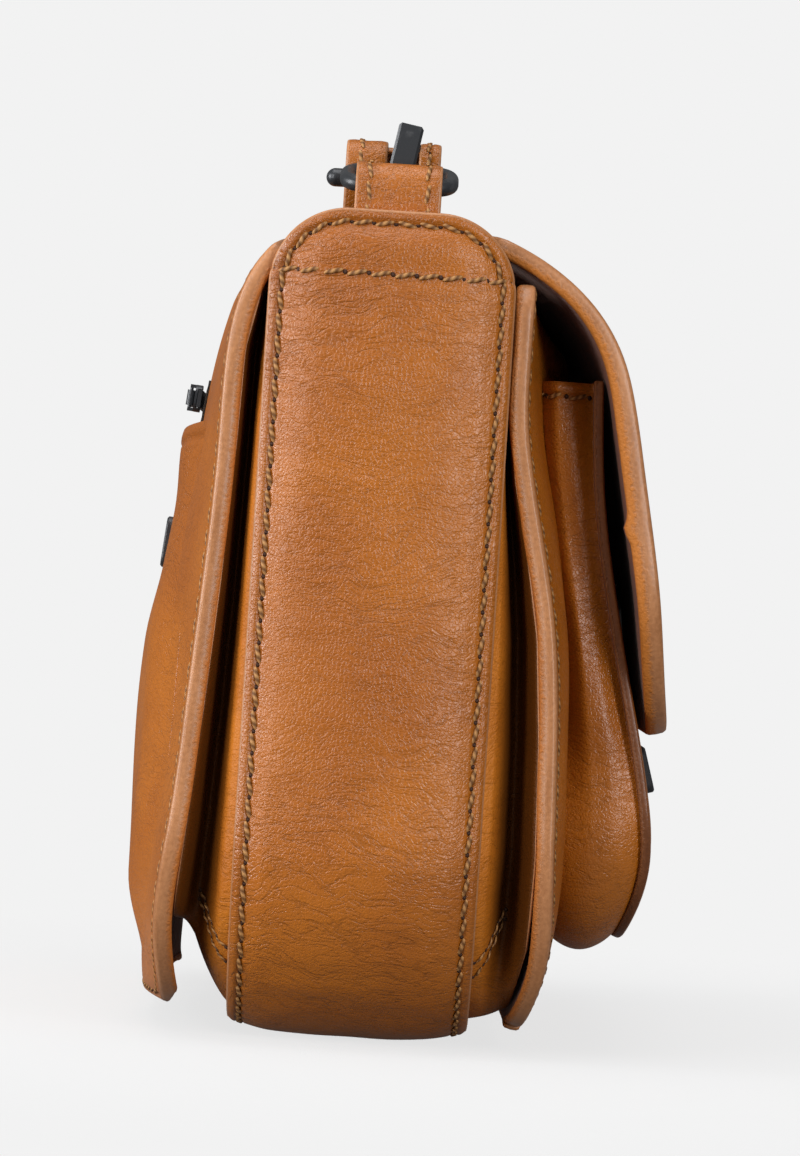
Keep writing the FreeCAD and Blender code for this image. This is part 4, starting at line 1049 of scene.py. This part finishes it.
# %% Front pocket
POCKET_DEPTH = [(16.6, 0.140), (18.7, 0.180), (20.2, 0.240), (20.0, 0.285), (17.2, 0.395),
                (15.2, 0.470), (14.0, 0.555), (14.6, 0.680), (15.4, 0.820)]
POCKET_HALF = 82.0
POCKET_FOOT = 0.140 * HEIGHT
POCKET_TOP = 0.820 * HEIGHT
POCKET_TURN = 30.0
POCKET_SEAM = 2.8
POCKET_SHEET = 1.9
WALL_TOP = POCKET_TOP - 0.3
WALL_INSET = 0.9
WALL_SEAM = 3.0
POCKET_MIDDLE = np.array([0.0, -45.0, 85.0])
front_out, front_share = np.array(FRONT_SIDE).T
pocket_line = Line([(-EDGE - np.interp(s, front_share, front_out) - PANEL - d, s * HEIGHT)
                    for d, s in POCKET_DEPTH])
wall_path = UPath(WALL_TOP - POCKET_FOOT - POCKET_TURN, POCKET_TURN - WALL_INSET,
                  POCKET_TURN - POCKET_HALF, POCKET_FOOT + POCKET_TURN)


def pocket_surface(x, b):
    """Side line of the pocket carried along the bag: a belly of 2.5 mm below the flap, and a top edge
    that sags 4 mm and leans in 2.5 mm at its middle."""
    y, z = pocket_line.at(b)
    up = np.clip((z / HEIGHT - 0.14) / 0.33, 0, 1)
    inside = ease((POCKET_HALF - np.abs(x)) / (POCKET_HALF * 0.75))
    top = ease((z - 105) / 30) * inside
    y = y - 2.5 * np.sin(np.pi * up) ** 2 * inside + 2.5 * top
    return stacked(x, y, z - 4.0 * top)


def pocket_half(b, inset=0.0):
    """Half width with round lower corners."""
    return round_half(pocket_line.at(b)[1], POCKET_HALF, POCKET_TURN, POCKET_FOOT, inset)


def make_pocket_front():
    """Front sheet of the pocket."""
    x, b, edge = sheet_grid(pocket_line.length, pocket_half, POCKET_HALF, POCKET_TURN)
    points = pocket_surface(x, b)
    relief = welt(edge, POCKET_SEAM, 0.2, 0.42) + uneven(points, edge, 0.3, 45.0, 31)
    part = shell(points, POCKET_SHEET, edge=edge, relief=relief)
    # The cut edge takes the darker edge finish, painted shade under the flap.
    piece("pocket_front", [part], ["pocket_panel"], (TAN, SHADED_EDGE, SUEDE))


def wall_surface(q, b):
    """Wall of the pocket: q runs from the front panel to the pocket's front, b along the U.
    Higher up it rolls out of a deep crease beside the panel; round the foot it bellies out."""
    x, z, nx, nz = wall_path.at(b)[:4]
    near = front_line.out_at(z) - 0.5
    far = pocket_line.out_at(z) + POCKET_SHEET
    up = (z - POCKET_FOOT) / (POCKET_TOP - POCKET_FOOT)
    hollow = 7.0 * (1 - ease(q / 0.45)) + 1.6 * ease((q - 0.65) / 0.35) + 0.5 * np.sin(5 * q + z / 9)
    belly = 4.2 * np.sin(np.pi * q) ** 0.8 * (1 - ease((up - 0.06) / 0.30))
    hem = 0.6 * bell((WALL_TOP - z - 1.2) / 1.4)
    out = hem + belly - hollow * ease((up - 0.12) / 0.30)
    return stacked(x + nx * out, near + (far - near) * q, z + nz * out)


def make_pocket_wall():
    """Soft wall of the pocket as a thin sheet."""
    q, b = np.meshgrid(np.linspace(0, 1, 41), spread(wall_path.run, 2.0), indexing="ij")
    points = wall_surface(q, b)
    edge = within(b, 0, wall_path.run)
    relief = welt(edge, WALL_SEAM, 0.25, 0.3) + 0.22 * ripple(points, 26.0, 33) * np.sin(np.pi * q)
    part = shell(points, 1.5, POCKET_MIDDLE, edge + 3, relief, 0.3)
    # The cut edge takes the darker edge finish, painted shade under the flap.
    piece("pocket_wall", [part], ["pocket_gusset"], (TAN, SHADED_EDGE, SUEDE))


def pocket_rows():
    """Rows inside the pocket front's outline and below the wall's hem at both ends."""
    low, high = pocket_line.reach(POCKET_FOOT + POCKET_SEAM), pocket_line.length - POCKET_SEAM
    flats = [(POCKET_HALF - POCKET_TURN, low, 80), (POCKET_HALF - 3, high, 110)]
    rows = outline_rows(pocket_surface, pocket_half, POCKET_SEAM, low, high, 400, flats,
                        lift=-0.38, pitch=3.8, girth=0.38)
    q = np.linspace(0.06, 0.94, 60)
    for place in (WALL_SEAM, wall_path.run - WALL_SEAM):
        path = on_surface(wall_surface, q, np.full(q.size, place), POCKET_MIDDLE, 0.002)
        rows.append(stitch_row(*path, lift=-0.05, girth=0.44))
    sewn("pocket_stitches", rows)


make_pocket_front()
make_pocket_wall()
pocket_rows()

# %% [markdown]
# The rear pocket is a patch on the back below a zip. Its sides and foot are thinned and glued down on
# the back, so no step shows there, and its upper edge is hemmed and stands off for the zip tape, a
# narrow woven band that follows the back.

# %% Rear pocket and zip tape
PATCH_HALF = 84.0
PATCH_TURN = 34.0
PATCH_FOOT = 0.070 * HEIGHT
PATCH_TOP = 0.732 * HEIGHT
PLATE_LEVEL = 100.4
ZIP_LEVEL = 0.752 * HEIGHT
TAPE_HALF = 59.0
patch_low = hide_line.reach(PATCH_FOOT, 0, 60)
patch_tall = hide_line.reach(PATCH_TOP, 60, BACK_END) - patch_low


def over_back(x, b, lift):
    """Points that lie a distance outside the back, measured along the back's normal."""
    point, normal = on_surface(hide_surface, x, b)
    return point + normal * np.asarray(lift)[..., None]


def patch_half(up):
    """Half width of the patch at a distance from its foot, with round lower corners."""
    return round_half(hide_line.at(patch_low + up)[1], PATCH_HALF, PATCH_TURN, PATCH_FOOT)


def patch_lift(x, up):
    """Height of the patch's face over the back: none at its thinned edges, 3.5 mm inside, and drawn in
    by 1 mm to both sides of the plate that is riveted to it."""
    inside = np.minimum(patch_half(up) - np.abs(x), up)
    from_plate = np.abs(hide_line.at(patch_low + up)[1] - PLATE_LEVEL)
    drawn = ease((np.abs(x) - 22) / 26) * ease((21 - from_plate) / 16)
    return -0.2 + (3.7 - drawn) * ease(inside / 20)


def make_patch():
    """Patch from its foot to the free upper edge, which sags 1.5 mm and rises 3.6 mm to its ends."""
    x, up, _ = sheet_grid(patch_tall, patch_half, PATCH_HALF, PATCH_TURN)
    edge = patch_tall - up
    thick = 0.4 + 1.7 * ease((np.minimum(patch_half(up) - np.abs(x), up) - 1) / 14)
    rise = 3.6 * ease((np.abs(x) - 50) / 34) - 1.5
    up = up + rise * ease(1 - edge / 40)
    points = over_back(x, patch_low + up, patch_lift(x, up))
    hem = np.where(edge < 6, welt(edge, 2.8, 0.2, 0.4), 0)
    relief = hem + uneven(points, edge, 0.22, 48.0, 41)
    part = shell(points, thick, edge=edge, relief=relief, round_by=0.3)
    piece("back_pocket", [part], ["back_pocket_panel"], (TAN, TAN, SUEDE))


def make_tape():
    """Zip tape: a woven band 15 mm wide that lies just off the back."""
    middle = hide_line.reach(ZIP_LEVEL, 60, BACK_END)
    x, b = np.meshgrid(np.linspace(-TAPE_HALF, TAPE_HALF, 75), middle + np.linspace(-7.5, 7.5, 15))
    part = shell(over_back(x, b, 0.5), 0.6, relief=0.05 * np.sin(b * 4.0), round_by=0.1)
    piece("zip_tape_weave", [part], ["zip_tape"], (TAPE, TAPE, TAPE))


make_patch()
make_tape()

# %% [markdown]
# At each end a leather tab is folded over a ring, and the strap is folded over a bar on the hook that
# is clipped to that ring. Both are straps: a profile in the XZ plane carried across the bag's width.

# %% Ring tabs and strap
TAB_BAR = (-98.1, 174.4)
STRAP_BAR = (-79.6, 176.8)
SLACK = 3.5
STRAP_OUT = -81.4
STRAP_TURN = 25.8
STRAP_FLOOR = 4.6
STRAP_SIDES = (-7.7, 10.7)
LOOP_FOOT = 140.0


def bar_loop(centre, radius, foot_out, foot_in, low):
    """Profile of a folded strap: up one side, half round a bar and down the other side."""
    turn = np.linspace(np.pi, 0, 7)
    x = np.r_[foot_out, foot_out, centre[0] + radius * np.cos(turn), foot_in, foot_in]
    z = np.r_[low, centre[1] - 15, centre[1] + radius * np.sin(turn), centre[1] - 15, low]
    return Line(stacked(x, z))


def stowed_run():
    """Profile of the stowed strap: down one end wall, along the floor and up the other."""
    turn = np.linspace(0, np.pi / 2, 13)[1:]
    down_x = STRAP_OUT + np.r_[np.zeros(8), STRAP_TURN * (1 - np.cos(turn))]
    down_z = np.r_[np.linspace(165, 34, 8), STRAP_FLOOR + STRAP_TURN * (1 - np.sin(turn))]
    x = np.r_[down_x, np.linspace(-50, 50, 9), -down_x[::-1]]
    return Line(stacked(x, np.r_[down_z, np.full(9, STRAP_FLOOR), down_z[::-1]]))


def inner_half(centre, radius, foot):
    """Profile of the loop's middle, which shows only on the inner side of the bar."""
    turn = np.linspace(0.9, 0, 6)
    x = np.r_[centre[0] + radius * np.cos(turn), foot, foot]
    return Line(stacked(x, np.r_[centre[1] + radius * np.sin(turn), 165.0, LOOP_FOOT]))


def strap_surface(line, sign):
    """Profile line in X and Z carried across the bag in Y."""
    def surface(y, b):
        x, z = line.at(b)
        return stacked(x * sign, y, z)
    return surface


def band(line, y0, y1, thick, sign, centre, inset=2.2, step=1.2):
    """Strap of a given thickness along a profile line, between two places across."""
    across = y0 + spread(y1 - y0, 1.5, (0.25, 0.6, 1.1, 1.7))
    y, b = np.meshgrid(across, np.linspace(0, line.length, int(line.length / step) + 2), indexing="ij")
    edge = np.minimum(within(y, y0, y1), within(b, 0, line.length))
    return shell(strap_surface(line, sign)(y, b), thick, centre, edge, welt(edge, inset, 0.12, 0.36), 0.5)


def strap_rows(line, places, sign, centre, margin):
    """Rows along a strap at places across it, from a margin after its start to the same before its end."""
    b = np.linspace(margin, line.length - margin, 120)
    rows = []
    for y in places:
        path = on_surface(strap_surface(line, sign), np.full(b.size, y), b, centre)
        rows.append(stitch_row(*path, lift=-0.20, girth=0.42, slant=math.copysign(9, y)))
    return rows


def make_tabs():
    """Tab at each end, folded over its ring."""
    line = bar_loop(TAB_BAR, 4.6, -102.7, -99.3, 149.7)
    for side, sign in (("left", 1.0), ("right", -1.0)):
        hub = np.array([TAB_BAR[0] * sign, 0.0, TAB_BAR[1] - 6])
        part = band(line, -8.2, 8.2, 1.65, sign, hub)
        piece("ring_tab_leather_" + side, [part], ["ring_tab_" + side])
        sewn("ring_tab_stitches_" + side, strap_rows(line, (-5.9, 5.9), sign, hub, 2.0))


def make_strap():
    """Stowed strap: one thick run down, along the floor and up, with a split loop at each end."""
    low, high = STRAP_SIDES
    top = STRAP_BAR[0], STRAP_BAR[1] + SLACK
    loop = bar_loop(top, 4.4, STRAP_OUT, -77.8, LOOP_FOOT)
    inner = inner_half(top, 4.2, -77.9)
    strips = ((loop, low, -4.2, 1.9, 2.0), (loop, 3.2, high, 1.9, 2.6), (inner, -4.6, 3.6, 1.7, 2.6))
    run, middle = stowed_run(), np.array([0.0, 1.5, 120.0])
    parts = [band(run, low, high, 3.5, 1.0, middle, 2.6, 2.5)]
    rows = strap_rows(run, (low + 2.6, high - 2.6), 1.0, middle, 3.0)
    for sign in (1.0, -1.0):
        hub = np.array([STRAP_BAR[0] * sign, 1.5, STRAP_BAR[1] - 6])
        parts += [band(line, y0, y1, thick, sign, hub, inset) for line, y0, y1, thick, inset in strips]
        rows += strap_rows(loop, (low + 2.0, high - 2.6), sign, hub, 3.0)
    piece("stowed_strap", parts, ["strap"])
    sewn("stowed_strap_stitches", rows)


make_tabs()
make_strap()

# %% [markdown]
# Inside, a soft wall hangs in the fold of each gusset and parts the bag into three. A leather patch
# backs each ring tab. These are plain thin sheets; the walls have round lower corners.

# %% Inner walls and tab backings
WALL_TURN = 40.0
WALL_THICK = 1.2


def node_box(node):
    """Both corners of a CAD node's box, in millimetres."""
    return [np.array(corner) * 1000 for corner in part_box(node)]


def make_inner_wall(end):
    """Thin wall between two heights: a plane that leans along its node's box, slightly uneven."""
    low, high = node_box(end + "_divider")
    y_low, y_high = (high[1], low[1] + WALL_THICK) if end == "rear" else (low[1], high[1] - WALL_THICK)
    half, foot, tall = high[0], low[2], high[2] - low[2]

    def half_at(up):
        return round_half(foot + up, half, WALL_TURN, foot)

    x, up, _ = sheet_grid(tall, half_at, half, steps=(2.6, 3.0))
    points = stacked(x, y_low + (y_high - y_low) * up / tall, foot + up)
    edge = np.minimum(half_at(up) - np.abs(x), tall - up)
    relief = welt(edge, 3.0, 0.15, 0.2) + 0.2 * ripple(points, 40.0, 51)
    part = shell(points, WALL_THICK, edge=edge, relief=relief, round_by=0.2)
    piece(end + "_inner_wall", [part], [end + "_divider"], (SUEDE, PAINT, SUEDE))


def make_tab_backing(side):
    """Flat patch on the inner face of its node's box."""
    low, high = node_box("tab_backing_" + side)
    places = [low[k] + spread(high[k] - low[k], 1.5, (0.25, 0.6, 1.1)) for k in (1, 2)]
    y, z = np.meshgrid(*places, indexing="ij")
    points = stacked(high[0] if side == "left" else low[0], y, z)
    edge = np.minimum(within(y, low[1], high[1]), within(z, low[2], high[2]))
    relief = welt(edge, 1.8, 0.1, 0.2)
    part = shell(points, 1.1, edge=edge, relief=relief, round_by=0.2, inwards=True)
    piece("tab_backing_leather_" + side, [part], ["tab_backing_" + side])


for end in ("rear", "front"):
    make_inner_wall(end)
for side in ("left", "right"):
    make_tab_backing(side)

# %% [markdown]
# The metal stays as the CAD made it: rings, hooks, gates, zip and bare plates. Each node only gets
# its finish.

# %% Metal finishes
PAIRS = [kind + side for kind in ("ring_", "hook_", "gate_", "gate_pin_") for side in ("left", "right")]
FINISH_OF = {BLACK: PAIRS + ["back_plate", "pocket_plate", "plate_rivets",
                             "zip_teeth", "zip_slider", "zip_puller"],
             STEEL: ["flap_magnet_cup", "flap_magnet", "pocket_magnet_cup", "pocket_magnet"],
             BOARD: ["base_board"]}
for finish, names in FINISH_OF.items():
    for name in names:
        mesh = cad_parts[name].data
        mesh.materials.clear()
        mesh.materials.append(finish)
print("finished CAD nodes", sum(len(names) for names in FINISH_OF.values()))
